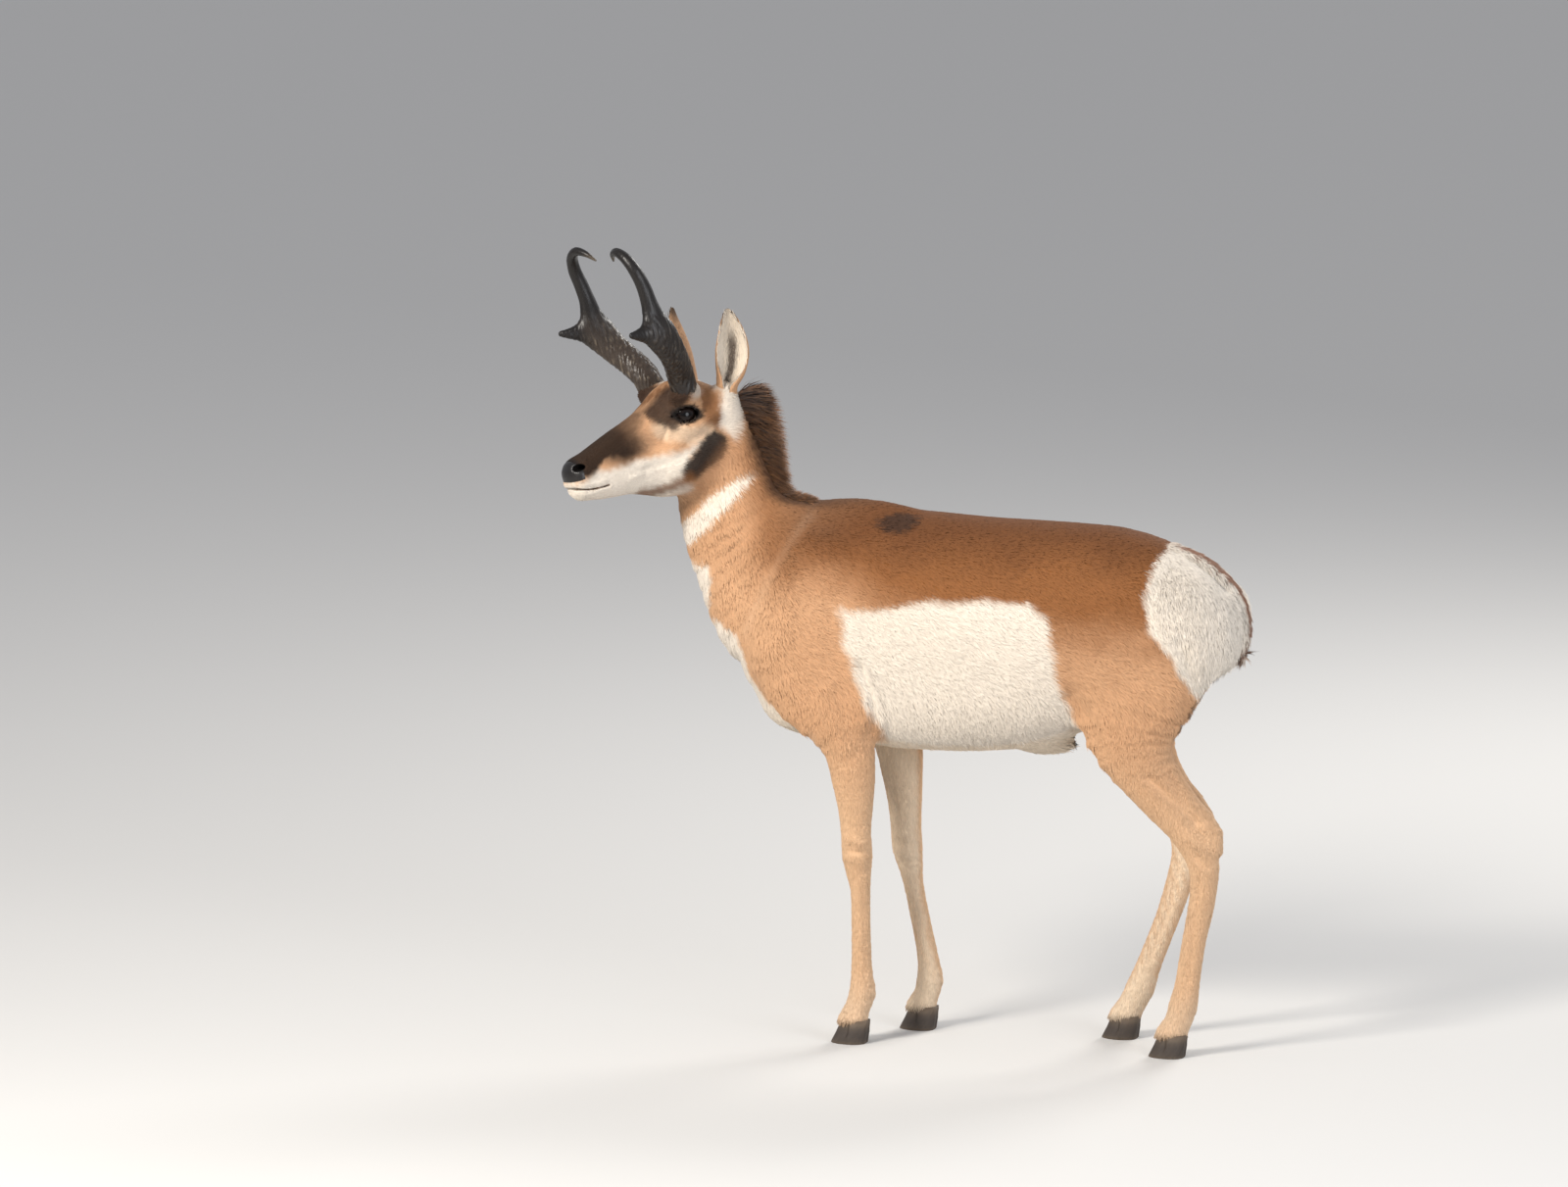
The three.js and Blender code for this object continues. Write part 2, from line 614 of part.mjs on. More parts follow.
// Moves a point onto the surface, at most by the given length
function settle(field, start, most) {
  let p = start;
  for (let n = 0; n < 4; n++) {
    const slope = slopeOf(field, p);
    const steep = Math.max(dot(slope, slope), 0.05);
    p = sub(p, scale(slope, field(p) / steep));
  }
  const moved = sub(p, start);
  const length = Math.hypot(...moved);
  return length > most ? add(start, scale(moved, most / length)) : p;
}

// A box that fills the side of a plane that its normal points to
function halfSpace(at, normal) {
  const box = new THREE.BoxGeometry(CUT_SIZE, CUT_SIZE, CUT_SIZE);
  box.deleteAttribute("normal");
  box.deleteAttribute("uv");
  const way = new THREE.Vector3(...unit(normal));
  const turn = new THREE.Quaternion().setFromUnitVectors(new THREE.Vector3(0, 0, 1), way);
  const middle = new THREE.Vector3(...at).addScaledVector(way, CUT_SIZE / 2 + GAP / 2);
  box.applyMatrix4(new THREE.Matrix4().compose(middle, turn, new THREE.Vector3(1, 1, 1)));
  return solidOf(box);
}

// A closed skin from its points, turned the right way out
function closedSolid(positions, triangles) {
  const geometry = new THREE.BufferGeometry();
  geometry.setAttribute("position", new THREE.Float32BufferAttribute(positions.flat(), 3));
  geometry.setIndex(triangles);
  const solid = solidOf(geometry);
  if (solid.volume() > 0) return solid;
  for (let i = 0; i < triangles.length; i += 3)
    [triangles[i + 1], triangles[i + 2]] = [triangles[i + 2], triangles[i + 1]];
  geometry.setIndex(triangles);
  return solidOf(geometry);
}

// Rings of equal count joined into one closed skin, with its ends filled
function ringSolid(rings) {
  const count = rings[0].length;
  const middleOf = (ring) => scale(ring.reduce(add), 1 / count);
  const positions = [...rings.flat(), middleOf(rings[0]), middleOf(rings[rings.length - 1])];
  const first = rings.length * count;
  const triangles = [];
  for (let k = 0; k < count; k++) {
    const next = (k + 1) % count;
    triangles.push(first, next, k);
    const end = (rings.length - 1) * count;
    triangles.push(first + 1, end + k, end + next);
    for (let r = 0; r < rings.length - 1; r++) {
      const a = r * count;
      const b = a + count;
      triangles.push(a + k, a + next, b + next, a + k, b + next, b + k);
    }
  }
  return closedSolid(positions, triangles);
}

// A tube of elliptical rings along a limb's stations
function tubeSolid(stations, sides, steps, side = [0, 1, 0]) {
  const line = refine(stations, steps);
  const rings = line.map((station, i) => {
    const before = line[Math.max(i - 1, 0)].at;
    const after = line[Math.min(i + 1, line.length - 1)].at;
    const tangent = unit(sub(after, before));
    const lateral = unit(sub(side, scale(tangent, dot(side, tangent))));
    const deepWay = cross(tangent, lateral);
    return Array.from({ length: sides }, (_, k) => {
      const turn = (k / sides) * 2 * Math.PI;
      const out = add(
        scale(deepWay, station.deep * Math.cos(turn)),
        scale(lateral, station.wide * Math.sin(turn)),
      );
      return add(station.at, out);
    });
  });
  return ringSolid(rings);
}

// A seeded draw between 0 and 1
function drawer(seed) {
  let state = seed;
  return () => {
    state = (state * 1664525 + 1013904223) % 4294967296;
    return state / 4294967296;
  };
}

// A flat, tapered lock of hair: its root below the surface, bending from its way towards its lean
function lockSolid({ root, way, out, lean, length, width, thick }) {
  const across = unit(cross(way, out));
  const shares = [0, 0.35, 0.72, 1];
  const taper = [0.9, 1, 0.8, 0.28];
  const rings = shares.map((share, i) => {
    const bend = scale(lean, length * share * share * 0.5);
    const centre = add(add(root, scale(way, length * share)), bend);
    const half = (width / 2) * taper[i];
    const high = (thick / 2) * taper[i];
    return [
      add(centre, scale(across, half)),
      add(centre, scale(out, high)),
      sub(centre, scale(across, half)),
      sub(centre, scale(out, high)),
    ];
  });
  return ringSolid(rings);
}

const body = bodyField();
const uniteAll = (solids) => wasm.Manifold.union(solids);

// Where the body is parted
const NECK_CUT = { at: [-262, 0, 800], normal: [-0.62, 0, 0.78] };
const HEAD_CUT = { at: fromHead([-125, 0, -30]), normal: headTurn([0.494, 0, 0.87]) };
const HIND_CUT = { at: [270, 0, 540], normal: [0.43, 0, -0.903] };
const FORE_TOP = 560;
const FORE_INNER = 44;
const FORE_REAR = { "-1": -20, 1: 20 }; // where the region of the left and right foreleg ends
const away = (v) => scale(v, -1);
const above = (z) => halfSpace([0, 0, z], [0, 0, 1]);
const below = (z) => halfSpace([0, 0, z], [0, 0, -1]);
const outsideOf = (side, y) => halfSpace([0, side * y, 0], [0, side, 0]);

const belowNeck = halfSpace(NECK_CUT.at, away(NECK_CUT.normal));
const aboveNeck = halfSpace(NECK_CUT.at, NECK_CUT.normal);
const inHead = halfSpace(HEAD_CUT.at, HEAD_CUT.normal);
const outOfHead = halfSpace(HEAD_CUT.at, away(HEAD_CUT.normal));

function legRegion(side, hind) {
  const shin = above(HOOF_TOP).intersect(outsideOf(side, hind ? 0 : FORE_INNER));
  return hind
    ? shin.intersect(halfSpace(HIND_CUT.at, HIND_CUT.normal))
    : shin.intersect(below(FORE_TOP)).intersect(halfSpace([FORE_REAR[side], 0, 0], [-1, 0, 0]));
}

// The space that a leg takes with its gap, to be cut from the trunk
function legNotch(side, hind) {
  return hind
    ? halfSpace(add(HIND_CUT.at, scale(unit(HIND_CUT.normal), -GAP)), HIND_CUT.normal)
    : halfSpace([0, side * (FORE_INNER - GAP), 0], [0, side, 0])
        .intersect(below(FORE_TOP + GAP))
        .intersect(halfSpace([FORE_REAR[side] + GAP, 0, 0], [-1, 0, 0]));
}

// Locks along the nape, over a low core: they stand up and lean back over each other
const MANE = {
  poll: [-312, 4, 1078],
  base: [-206, 0, 904],
  rows: 3,
  count: 15,
  apart: 10,
  long: 58,
  short: 18,
  width: 25,
  thick: 5.5,
  sunk: 16,
  lean: 0.8,
  fall: 1.3,
  core: 0.42,
  coreWide: 15,
};
const maneLong = (share) => mix(MANE.long, MANE.short, Math.pow(share, MANE.fall));
const maneDown = unit(sub(MANE.base, MANE.poll));
const maneSpot = (field, share, offset) => {
  const guess = add(MANE.poll, scale(sub(MANE.base, MANE.poll), share));
  const spot = settle(field, add(guess, [0, offset, 0]), 90);
  return { spot, out: unit(slopeOf(field, spot)) };
};

function maneCore(field) {
  const stations = [0.04, 0.2, 0.36, 0.52, 0.68, 0.82, 0.95].map((share) => {
    const { spot, out } = maneSpot(field, share, 0);
    const high = maneLong(share) * MANE.core;
    const at = add(spot, scale(out, (high - MANE.sunk) / 2));
    return { at, deep: (high + MANE.sunk) / 2, wide: mix(MANE.coreWide, MANE.coreWide / 2, share) };
  });
  return tubeSolid(stations, 8, 1);
}

function maneLocks(field) {
  const draw = drawer(7);
  const made = [];
  for (let i = 0; i < MANE.count; i++)
    for (let row = 0; row < MANE.rows; row++) {
      const share = (i + (row % 2) * 0.5 + draw() * 0.3) / MANE.count;
      const offset = (row - (MANE.rows - 1) / 2) * MANE.apart * mix(1, 0.6, share);
      const { spot, out } = maneSpot(field, share, offset);
      const spread = [0, (offset / MANE.apart) * 0.16, 0];
      const way = unit(add(add(out, scale(maneDown, mix(-0.1, 0.7, share))), spread));
      made.push(
        lockSolid({
          root: sub(spot, scale(way, MANE.sunk)),
          way,
          out: unit(sub([0, 1, 0], scale(way, way[1]))),
          lean: scale(maneDown, MANE.lean),
          length: maneLong(share) * mix(0.85, 1.1, draw()) + MANE.sunk,
          width: MANE.width * mix(0.8, 1.15, draw()) * mix(1, 0.7, share),
          thick: MANE.thick,
        }),
      );
    }
  return made;
}

// Parts
function torsoSolid() {
  const whole = solidOf(surfaceOf(body, [-400, -180, 430], [580, 180, 930], [39, 31, 35]));
  const notches = [legNotch(-1, false), legNotch(1, false), legNotch(-1, true), tailCore(GAP)];
  return largestOf(notches.reduce((s, n) => s.subtract(n), whole.intersect(belowNeck)));
}

function legSolid(side, hind) {
  const low = hind ? [243, 0, 0] : [-260, 0, 0];
  const high = hind ? [560, 0, 700] : [60, 0, 590];
  low[1] = side < 0 ? -160 : -12;
  high[1] = side < 0 ? 12 : 160;
  const whole = solidOf(surfaceOf(body, low, high, hind ? [18, 14, 36] : [16, 14, 32]));
  return largestOf(whole.intersect(legRegion(side, hind)));
}

function neckSolid() {
  const flesh = solidOf(surfaceOf(body, [-540, -150, 680], [-120, 150, 1120], [27, 23, 27]));
  const locked = uniteAll([flesh, maneCore(body), ...maneLocks(body)]);
  return largestOf(locked.intersect(aboveNeck).intersect(outOfHead));
}

const sideOf = ([f, l, u], side) => [f, side * l, u];
const onSide = (stations, side) =>
  stations.map((s) => ({ ...s, at: fromHead(sideOf(s.at, side)) }));
const grown = (stations, by) =>
  stations.map((s) => ({ ...s, deep: s.deep + by, wide: s.wide + by }));

const hornWay = (side) => headTurn([0, side, 0]);
function hornSolid(side) {
  const beam = tubeSolid(onSide(HORN, side), 8, 2, hornWay(side));
  const prong = tubeSolid(onSide(PRONG, side), 8, 2, hornWay(side));
  return beam.add(prong);
}
const hornPocket = (side) =>
  tubeSolid(onSide(grown(HORN.slice(0, 3), GAP), side), 8, 2, hornWay(side));

const earWay = (side) => headTurn(sideOf(EAR_SIDE, side));
const earLine = (side) =>
  EAR.map((s, i) => {
    const arch = side < 0 ? RIGHT_EAR_FORWARD * Math.sin((i / (EAR.length - 1)) * Math.PI) : 0;
    return { ...s, at: add(s.at, [arch, 0, 0]) };
  });
function earSolid(side) {
  const outer = tubeSolid(onSide(earLine(side), side), 10, 2, earWay(side));
  const cup = earLine(side).slice(EAR_CUP.from).map((s) => ({
    at: add(s.at, scale(EAR_SIDE, EAR_CUP.shift)),
    deep: Math.max(s.deep - EAR_CUP.rim, 0.8),
    wide: Math.max(s.wide - EAR_CUP.wall, 0.8),
  }));
  return largestOf(outer.subtract(tubeSolid(onSide(cup, side), 10, 2, earWay(side))));
}
const earPocket = (side) =>
  tubeSolid(onSide(grown(earLine(side).slice(0, 3), GAP), side), 10, 2, earWay(side));

function ballSolid(at, radius, around, levels) {
  const ball = new THREE.SphereGeometry(radius, around, levels);
  ball.deleteAttribute("normal");
  ball.deleteAttribute("uv");
  ball.translate(...at);
  return solidOf(ball);
}
const eyeAt = (side) => fromHead(sideOf(EYE.at, side));
const eyeSolid = (side, more = 0) => ballSolid(eyeAt(side), EYE.radius + more, 14, 10);

// Points of the almond between the lids, on a ball about the eye
function almond(side, radius, grow, bow) {
  const out = unit(headTurn(sideOf(EYE.facing, side)));
  const level = unit(sub(HEAD_FORWARD, scale(out, dot(out, HEAD_FORWARD))));
  const rise = scale(cross(level, out), side);
  const front = add(scale(level, Math.cos(LID.tilt)), scale(rise, Math.sin(LID.tilt)));
  const up = sub(scale(rise, Math.cos(LID.tilt)), scale(level, Math.sin(LID.tilt)));
  return Array.from({ length: LID.around }, (_, k) => {
    const turn = (k / LID.around) * 2 * Math.PI;
    const lift = Math.sin(turn);
    const a = (EYE.wide + grow) * Math.cos(turn);
    const b = (EYE.high + grow) * lift * (lift < 0 ? LID.lower : 1);
    const rest = Math.sqrt(Math.max(radius * radius - bow * bow * a * a - b * b, 9));
    const spot = add(add(scale(front, a), scale(up, b)), scale(out, rest));
    return add(eyeAt(side), spot);
  });
}

// A closed round bead along the almond
function lidSolid(side) {
  const loop = almond(side, EYE.radius + LID.proud, 0.5, LID_BOW);
  const centre = eyeAt(side);
  const count = loop.length;
  const positions = [];
  loop.forEach((at, k) => {
    const along = unit(sub(loop[(k + 1) % count], loop[(k + count - 1) % count]));
    const out = unit(sub(at, centre));
    const aside = cross(along, out);
    for (let n = 0; n < LID.sides; n++) {
      const turn = (n / LID.sides) * 2 * Math.PI;
      const reach = LID.thick * (Math.cos(turn) < -0.2 ? LID.flare : 1);
      const lift = scale(out, reach * Math.cos(turn));
      positions.push(add(at, add(lift, scale(aside, LID.thick * Math.sin(turn)))));
    }
  });
  const triangles = [];
  for (let k = 0; k < count; k++)
    for (let n = 0; n < LID.sides; n++) {
      const a = k * LID.sides;
      const b = ((k + 1) % count) * LID.sides;
      const m = (n + 1) % LID.sides;
      triangles.push(a + n, b + n, b + m, a + n, b + m, a + m);
    }
  return closedSolid(positions, triangles);
}

// What opens the socket between the lids
function lidPlug(side) {
  const inner = almond(side, EYE.radius - 0.5, -1, SOCKET_BOW);
  const outer = almond(side, EYE.radius + 22, 1, LID_BOW);
  return ringSolid([inner, outer]);
}

const tailCore = (more) => tubeSolid(grown(TAIL, more), 10, 2);

// Locks over the tail: they lie along it and flare a little at its tip
const TAIL_LOCK = { count: 12, from: 0.4, spread: 6, long: 54, width: 16, thick: 4.5, sunk: 8, clear: 7 };
function tailSolid() {
  const draw = drawer(5);
  const line = refine(TAIL, 4);
  const locks = Array.from({ length: TAIL_LOCK.count }, (_, i) => {
    const share = mix(TAIL_LOCK.from, 1, i / (TAIL_LOCK.count - 1));
    const k = Math.min(Math.floor(share * (line.length - 1)), line.length - 2);
    const along = unit(sub(line[k + 1].at, line[k].at));
    const out = unit(cross(along, [0, 1, 0]));
    const offset = TAIL_LOCK.spread * (draw() * 2 - 1);
    const top = add(line[k].at, add(scale(out, line[k].deep), [0, offset, 0]));
    const length = TAIL_LOCK.long * mix(0.8, 1.1, draw());
    const wayAt = (rise) => unit(add(along, scale(out, rise)));
    const clearOf = (rise) =>
      [0.5, 0.75, 1].every((t) => body(add(top, scale(wayAt(rise), length * t))) > TAIL_LOCK.clear);
    const rise = [0.2, 0.3, 0.4, 0.5, 0.6, 0.7].find(clearOf) ?? 0.8;
    const way = wayAt(rise);
    return lockSolid({
      root: sub(top, add(scale(out, TAIL_LOCK.sunk), scale(way, TAIL_LOCK.sunk))),
      way,
      out,
      lean: scale(out, -rise * 0.5),
      length,
      width: TAIL_LOCK.width,
      thick: TAIL_LOCK.thick,
    });
  });
  return largestOf(uniteAll([tailCore(0), ...locks]));
}

function mouthSolid() {
  const rings = MOUTH.map(({ at: [f, u], open }) =>
    [
      [f, 40, u + open / 2],
      [f, -40, u + open / 2],
      [f, -40, u - open / 2],
      [f, 40, u - open / 2],
    ].map(fromHead),
  );
  const core = HEAD.slice(8).map((s) => ({
    at: fromHead([s.at - 6, 0, -56]),
    deep: 40,
    wide: s.wide - MOUTH_DEPTH,
  }));
  return ringSolid(rings).subtract(tubeSolid(core, 10, 1, HEAD_LEFT));
}

function headSolid() {
  const low = [-660, -280, 850];
  const high = [-290, 110, 1140];
  const flesh = solidOf(surfaceOf(body, low, high, [12.4, 12.4, 12.4])).intersect(inHead);
  const sides = [1, -1];
  const nostril = (side) => tubeSolid(onSide(NOSTRIL, side), 8, 1, HEAD_UP);
  const cuts = [
    ...sides.map((side) => eyeSolid(side, GAP)),
    ...sides.map(lidPlug),
    ...sides.map(hornPocket),
    ...sides.map(earPocket),
    ...sides.map(nostril),
    mouthSolid(),
  ];
  return largestOf(cuts.reduce((s, c) => s.subtract(c), flesh.add(uniteAll(sides.map(lidSolid)))));
}

// A claw of a foot: a flat sole, a steep outer wall and a flat inner wall along the cleft
function clawSolid(foot, side) {
  const outline = [
    [-0.5, 0.12],
    [-0.4, 0.52],
    [-0.2, 0.84],
    [0.08, 1],
    [0.32, 0.92],
    [0.47, 0.6],
    [0.5, 0.2],
    [0.42, 0],
    [-0.42, 0],
  ];
  const levels = [
    { z: 0, grow: 1, share: 0 },
    { z: 12, grow: 0.98, share: 0.36 },
    { z: HOOF_TOP - GAP / 2, grow: 0.84, share: 1 },
  ];
  const rings = levels.map(({ z, grow, share }) =>
    outline.map(([x, y]) => {
      const shift = mix(0, x < 0 ? HOOF.lean : HOOF.heelLean, share);
      const out = HOOF.cleft / 2 + y * HOOF.wide * grow;
      return [foot[0] + x * HOOF.long + shift, foot[1] + side * out, z];
    }),
  );
  return ringSolid(rings);
}

const group = new THREE.Group();
group.position.copy(ORIGIN);

function place(name, solid, colour, roughness) {
  const material = new THREE.MeshStandardMaterial({ color: colour, roughness, metalness: 0 });
  const mesh = new THREE.Mesh(geometryOf(solid), material);
  mesh.name = name;
  group.add(mesh);
}

const COAT = 0xb87848;
const HORN_BLACK = 0x1d1917;
const EYE_BLACK = 0x060505;
const NAMES = { 1: "left", "-1": "right" };
place("torso", torsoSolid(), COAT, 0.9);
place("neck", neckSolid(), COAT, 0.9);
place("head", headSolid(), COAT, 0.9);
place("tail", tailSolid(), COAT, 0.9);
for (const side of [1, -1]) {
  const name = NAMES[side];
  place("horn_" + name, hornSolid(side), HORN_BLACK, 0.5);
  place("ear_" + name, earSolid(side), COAT, 0.9);
  place("eye_" + name, eyeSolid(side), EYE_BLACK, 0.1);
}
for (const [name, side, hind] of [
  ["foreleg_left", -1, false],
  ["foreleg_right", 1, false],
  ["hindleg_left", -1, true],
  ["hindleg_right", 1, true],
])
  place(name, legSolid(side, hind), COAT, 0.9);
for (const [name, at] of [
  ["fore_left", [-121, -75]],
  ["fore_right", [-41, 75]],
  ["hind_left", [417, -75]],
  ["hind_right", [303, 75]],
])
  for (const [toe, side] of [["a", 1], ["b", -1]])
    place("hoof_" + name + "_" + toe, clawSolid(at, side), HORN_BLACK, 0.6);

export default group;
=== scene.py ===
"""A life-size standing pronghorn buck: one skin under a coat of tufts, with horns, eyes and hooves."""

import math

import bmesh
import bpy
import numpy as np
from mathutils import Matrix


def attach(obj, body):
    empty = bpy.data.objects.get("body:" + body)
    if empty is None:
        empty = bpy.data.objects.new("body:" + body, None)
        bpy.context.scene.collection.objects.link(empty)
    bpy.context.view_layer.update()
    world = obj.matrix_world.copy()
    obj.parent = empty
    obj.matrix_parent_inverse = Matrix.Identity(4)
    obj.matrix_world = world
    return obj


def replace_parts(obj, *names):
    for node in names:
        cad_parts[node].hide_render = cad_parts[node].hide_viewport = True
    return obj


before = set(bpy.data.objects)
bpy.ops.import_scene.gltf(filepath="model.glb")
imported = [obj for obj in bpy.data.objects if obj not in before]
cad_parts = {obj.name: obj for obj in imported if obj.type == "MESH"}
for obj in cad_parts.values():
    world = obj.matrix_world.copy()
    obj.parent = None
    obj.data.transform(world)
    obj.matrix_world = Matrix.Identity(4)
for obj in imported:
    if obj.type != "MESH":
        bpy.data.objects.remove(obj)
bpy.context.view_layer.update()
rng = np.random.default_rng(11)
DENSITY = 1.0

# Everything is laid out in millimetres, then moved by the part's own shift and written in metres
SHIFT = np.array([34.0, 40.0, 0.0])
CELL, HORN_CELL = 4.0, 1.6
FAR = 90.0
HOOF_TOP = 33.0

# Trunk: place along the body, back, belly, half width
TORSO = np.array([
    (-318, 786, 650, 58), (-285, 846, 580, 82), (-240, 876, 529, 101), (-180, 885, 500, 112),
    (-100, 886, 489, 123), (0, 880, 484, 135), (100, 874, 487, 141), (180, 872, 497, 138),
    (250, 870, 520, 130), (320, 865, 562, 122), (390, 847, 602, 112), (450, 818, 622, 96),
    (496, 774, 640, 70)], float)
# Limbs: centre, half depth, half width
NECK = [(-213, 0, 707, 145, 92), (-276, 0, 766, 118, 78), (-318, 0, 822, 100, 66), (-342, 0, 876, 88, 57),
        (-354, 0, 928, 79, 52), (-360, 3, 972, 68, 48), (-366, 6, 1010, 54, 44)]
FORE_LEFT = [(-148, -72, 812, 60, 30), (-188, -78, 735, 84, 40), (-196, -80, 655, 92, 44),
             (-165, -80, 590, 86, 42), (-132, -80, 535, 60, 37), (-119, -79, 488, 43, 31),
             (-113, -78, 440, 37, 27), (-110, -77, 395, 30, 24), (-109, -76, 350, 25.5, 22),
             (-107, -76, 315, 26, 22.5), (-105, -75, 288, 22, 19), (-102, -75, 258, 17.5, 15.5),
             (-101, -75, 210, 16.5, 14), (-100, -75, 155, 17, 14), (-99, -75, 112, 19, 16),
             (-98, -75, 86, 22.5, 19), (-106, -75, 60, 21.5, 19.5), (-114, -75, 38, 25, 23),
             (-118, -75, 22, 27, 26)]
FORE_RIGHT = [(-140, 72, 812, 60, 30), (-172, 78, 735, 84, 40), (-172, 80, 655, 92, 44),
              (-132, 80, 590, 86, 42), (-92, 80, 535, 60, 37), (-76, 79, 486, 43, 31),
              (-69, 78, 436, 36, 27), (-64, 77, 388, 30, 24), (-61, 76, 336, 26, 22),
              (-59, 76, 305, 26, 22.5), (-54, 75, 278, 22, 19), (-49, 75, 248, 17.5, 15.5),
              (-40, 75, 202, 16.5, 14), (-29, 75, 150, 17, 14), (-22, 75, 110, 19, 16),
              (-20, 75, 84, 22.5, 19), (-26, 75, 58, 21.5, 19.5), (-34, 75, 38, 25, 23),
              (-38, 75, 22, 27, 26)]
HIND_LEFT = [(372, -64, 752, 96, 46), (368, -70, 690, 118, 52), (362, -74, 625, 114, 50),
             (353, -77, 565, 90, 44), (362, -79, 512, 66, 38), (386, -80, 468, 50, 32),
             (417, -80, 425, 40, 26), (447, -80, 391, 35, 23), (470, -79, 357, 33, 22),
             (480, -79, 322, 27, 20), (480, -78, 288, 23.5, 17.5), (474, -77, 246, 22, 15.5),
             (465, -76, 204, 20.5, 14.5), (457, -75, 157, 20.5, 14.5), (451, -75, 116, 21.5, 16),
             (445, -75, 86, 24.5, 19), (436, -75, 58, 23, 19.5), (426, -75, 38, 26, 23),
             (420, -75, 22, 27, 26)]
HIND_RIGHT = [(362, 64, 752, 96, 46), (352, 70, 690, 118, 52), (340, 74, 625, 114, 50),
              (326, 77, 565, 90, 44), (331, 79, 512, 66, 38), (349, 80, 468, 50, 32),
              (374, 80, 425, 40, 26), (398, 80, 391, 35, 23), (414, 79, 357, 33, 22),
              (416, 79, 320, 27, 20), (409, 78, 288, 23.5, 17.5), (397, 77, 246, 22, 15.5),
              (383, 76, 204, 20.5, 14.5), (365, 75, 157, 20.5, 14.5), (349, 75, 116, 21.5, 16),
              (338, 75, 86, 24.5, 19), (324, 75, 58, 23, 19.5), (313, 75, 38, 26, 23),
              (306, 75, 22, 27, 26)]
HEEL_STRING = [(422, -80, 476, 15, 13), (460, -80, 428, 12, 10), (497, -80, 378, 15, 12),
               (498, -80, 352, 15, 12)]
HEEL_SHIFT = (-53, 160, 0)
TAIL = [(404, 0, 832, 14, 20), (446, 0, 816, 16, 24), (488, 0, 788, 16, 26), (518, 0, 748, 15, 25),
        (529, 0, 704, 13, 21), (526, 0, 668, 9, 14)]
# Head, in its own frame: forward, top, bottom, half width
HEAD = np.array([
    (-98, -8, -74, 40), (-80, 16, -104, 51), (-50, 41, -122, 55), (-15, 53, -131, 54), (20, 48, -133, 49),
    (48, 35, -129, 44), (70, 26, -122, 39), (95, 20, -110, 35), (126, 14, -97, 32), (160, 6, -90, 30),
    (192, -2, -82, 29), (214, -10, -71, 26)], float)
HORN = [(-3, 50, 40, 23, 18), (0, 56, 64, 24, 17.5), (10, 74, 94, 24, 16), (24, 90, 124, 26, 14),
        (36, 97, 152, 28.5, 13), (41, 98, 180, 21, 12), (41, 97, 208, 14.5, 11), (43, 98, 238, 12.5, 10),
        (48, 96, 266, 11, 9.5), (52, 84, 290, 9.5, 8.5), (53, 64, 301, 7.5, 7.2), (49, 42, 295, 5, 4.8),
        (43, 28, 282, 1.6, 1.6)]
PRONG = [(38, 97, 156, 24, 10.5), (62, 101, 163, 17, 9), (84, 106, 168, 9.5, 6), (100, 111, 173, 4.5, 3)]
EAR = [(-78, 44, -2, 17, 13), (-82, 52, 20, 18, 13), (-91, 62, 44, 25, 14), (-99, 71, 74, 28, 14),
       (-103, 78, 104, 22, 11), (-104, 83, 130, 12, 6), (-104, 86, 146, 3, 1.8)]
EAR_SIDE = np.array([0.55, 0.83, 0.0])
RIGHT_EAR_FORWARD = 12.0
EYE_AT = np.array([4.5, 34.5, 0.0])
EYE_RADIUS = 22.0
EYE_FACING = np.array([0.24, 0.96, 0.1])
EYE_TILT = 0.33
EYE_WIDE, EYE_HIGH = 23.0, 12.0
LID_BOW, SOCKET_BOW = 0.6, 0.78
CORNEA_BULGE, CORNEA_ANGLE = 0.012, 0.62
PUPIL_WIDE, PUPIL_HIGH = 0.42, 0.16

# The head's frame: turned to the left, nose down, left side up
YAW, PITCH, ROLL = math.radians(48), math.radians(15), math.radians(7)
HEAD_AT = np.array([-425.9, -46.0, 1035.1])
FORWARD = np.array([-math.cos(YAW) * math.cos(PITCH), -math.sin(YAW) * math.cos(PITCH), -math.sin(PITCH)])
level_left = np.array([math.sin(YAW), -math.cos(YAW), 0])
LEFT = level_left * math.cos(ROLL) + np.cross(FORWARD, level_left) * math.sin(ROLL)
UP = np.cross(FORWARD, LEFT)
HEAD_AXES = np.stack([FORWARD, LEFT, UP])


def to_head(p):
    return (p - HEAD_AT) @ HEAD_AXES.T


def from_head(q):
    return HEAD_AT + np.asarray(q, float) @ HEAD_AXES


def unit(v):
    return v / np.maximum(np.linalg.norm(v, axis=-1, keepdims=True), 1e-9)


def ease(low, high, x):
    t = np.clip((x - low) / (high - low), 0, 1)
    return t * t * (3 - 2 * t)


def mix(a, b, t):
    return a + (b - a) * t


def fold(q):
    return np.stack([q[:, 0], np.abs(q[:, 1]), q[:, 2]], 1)


# A smooth curve through values at rising knots
def smooth_through(knots, values):
    k = np.asarray(knots, float)
    v = np.asarray(values, float)
    h = np.diff(k)
    s = np.diff(v) / h
    t = np.empty(len(v))
    t[0], t[-1] = s[0], s[-1]
    t[1:-1] = (h[1:] * s[:-1] + h[:-1] * s[1:]) / (h[1:] + h[:-1])

    def at(x):
        x = np.clip(x, k[0], k[-1])
        i = np.clip(np.searchsorted(k, x, side="right") - 1, 0, len(h) - 1)
        u = (x - k[i]) / h[i]
        u2, u3 = u * u, u * u * u
        return ((2 * u3 - 3 * u2 + 1) * v[i] + (u3 - 2 * u2 + u) * h[i] * t[i]
                + (3 * u2 - 2 * u3) * v[i + 1] + (u3 - u2) * h[i] * t[i + 1])

    return at


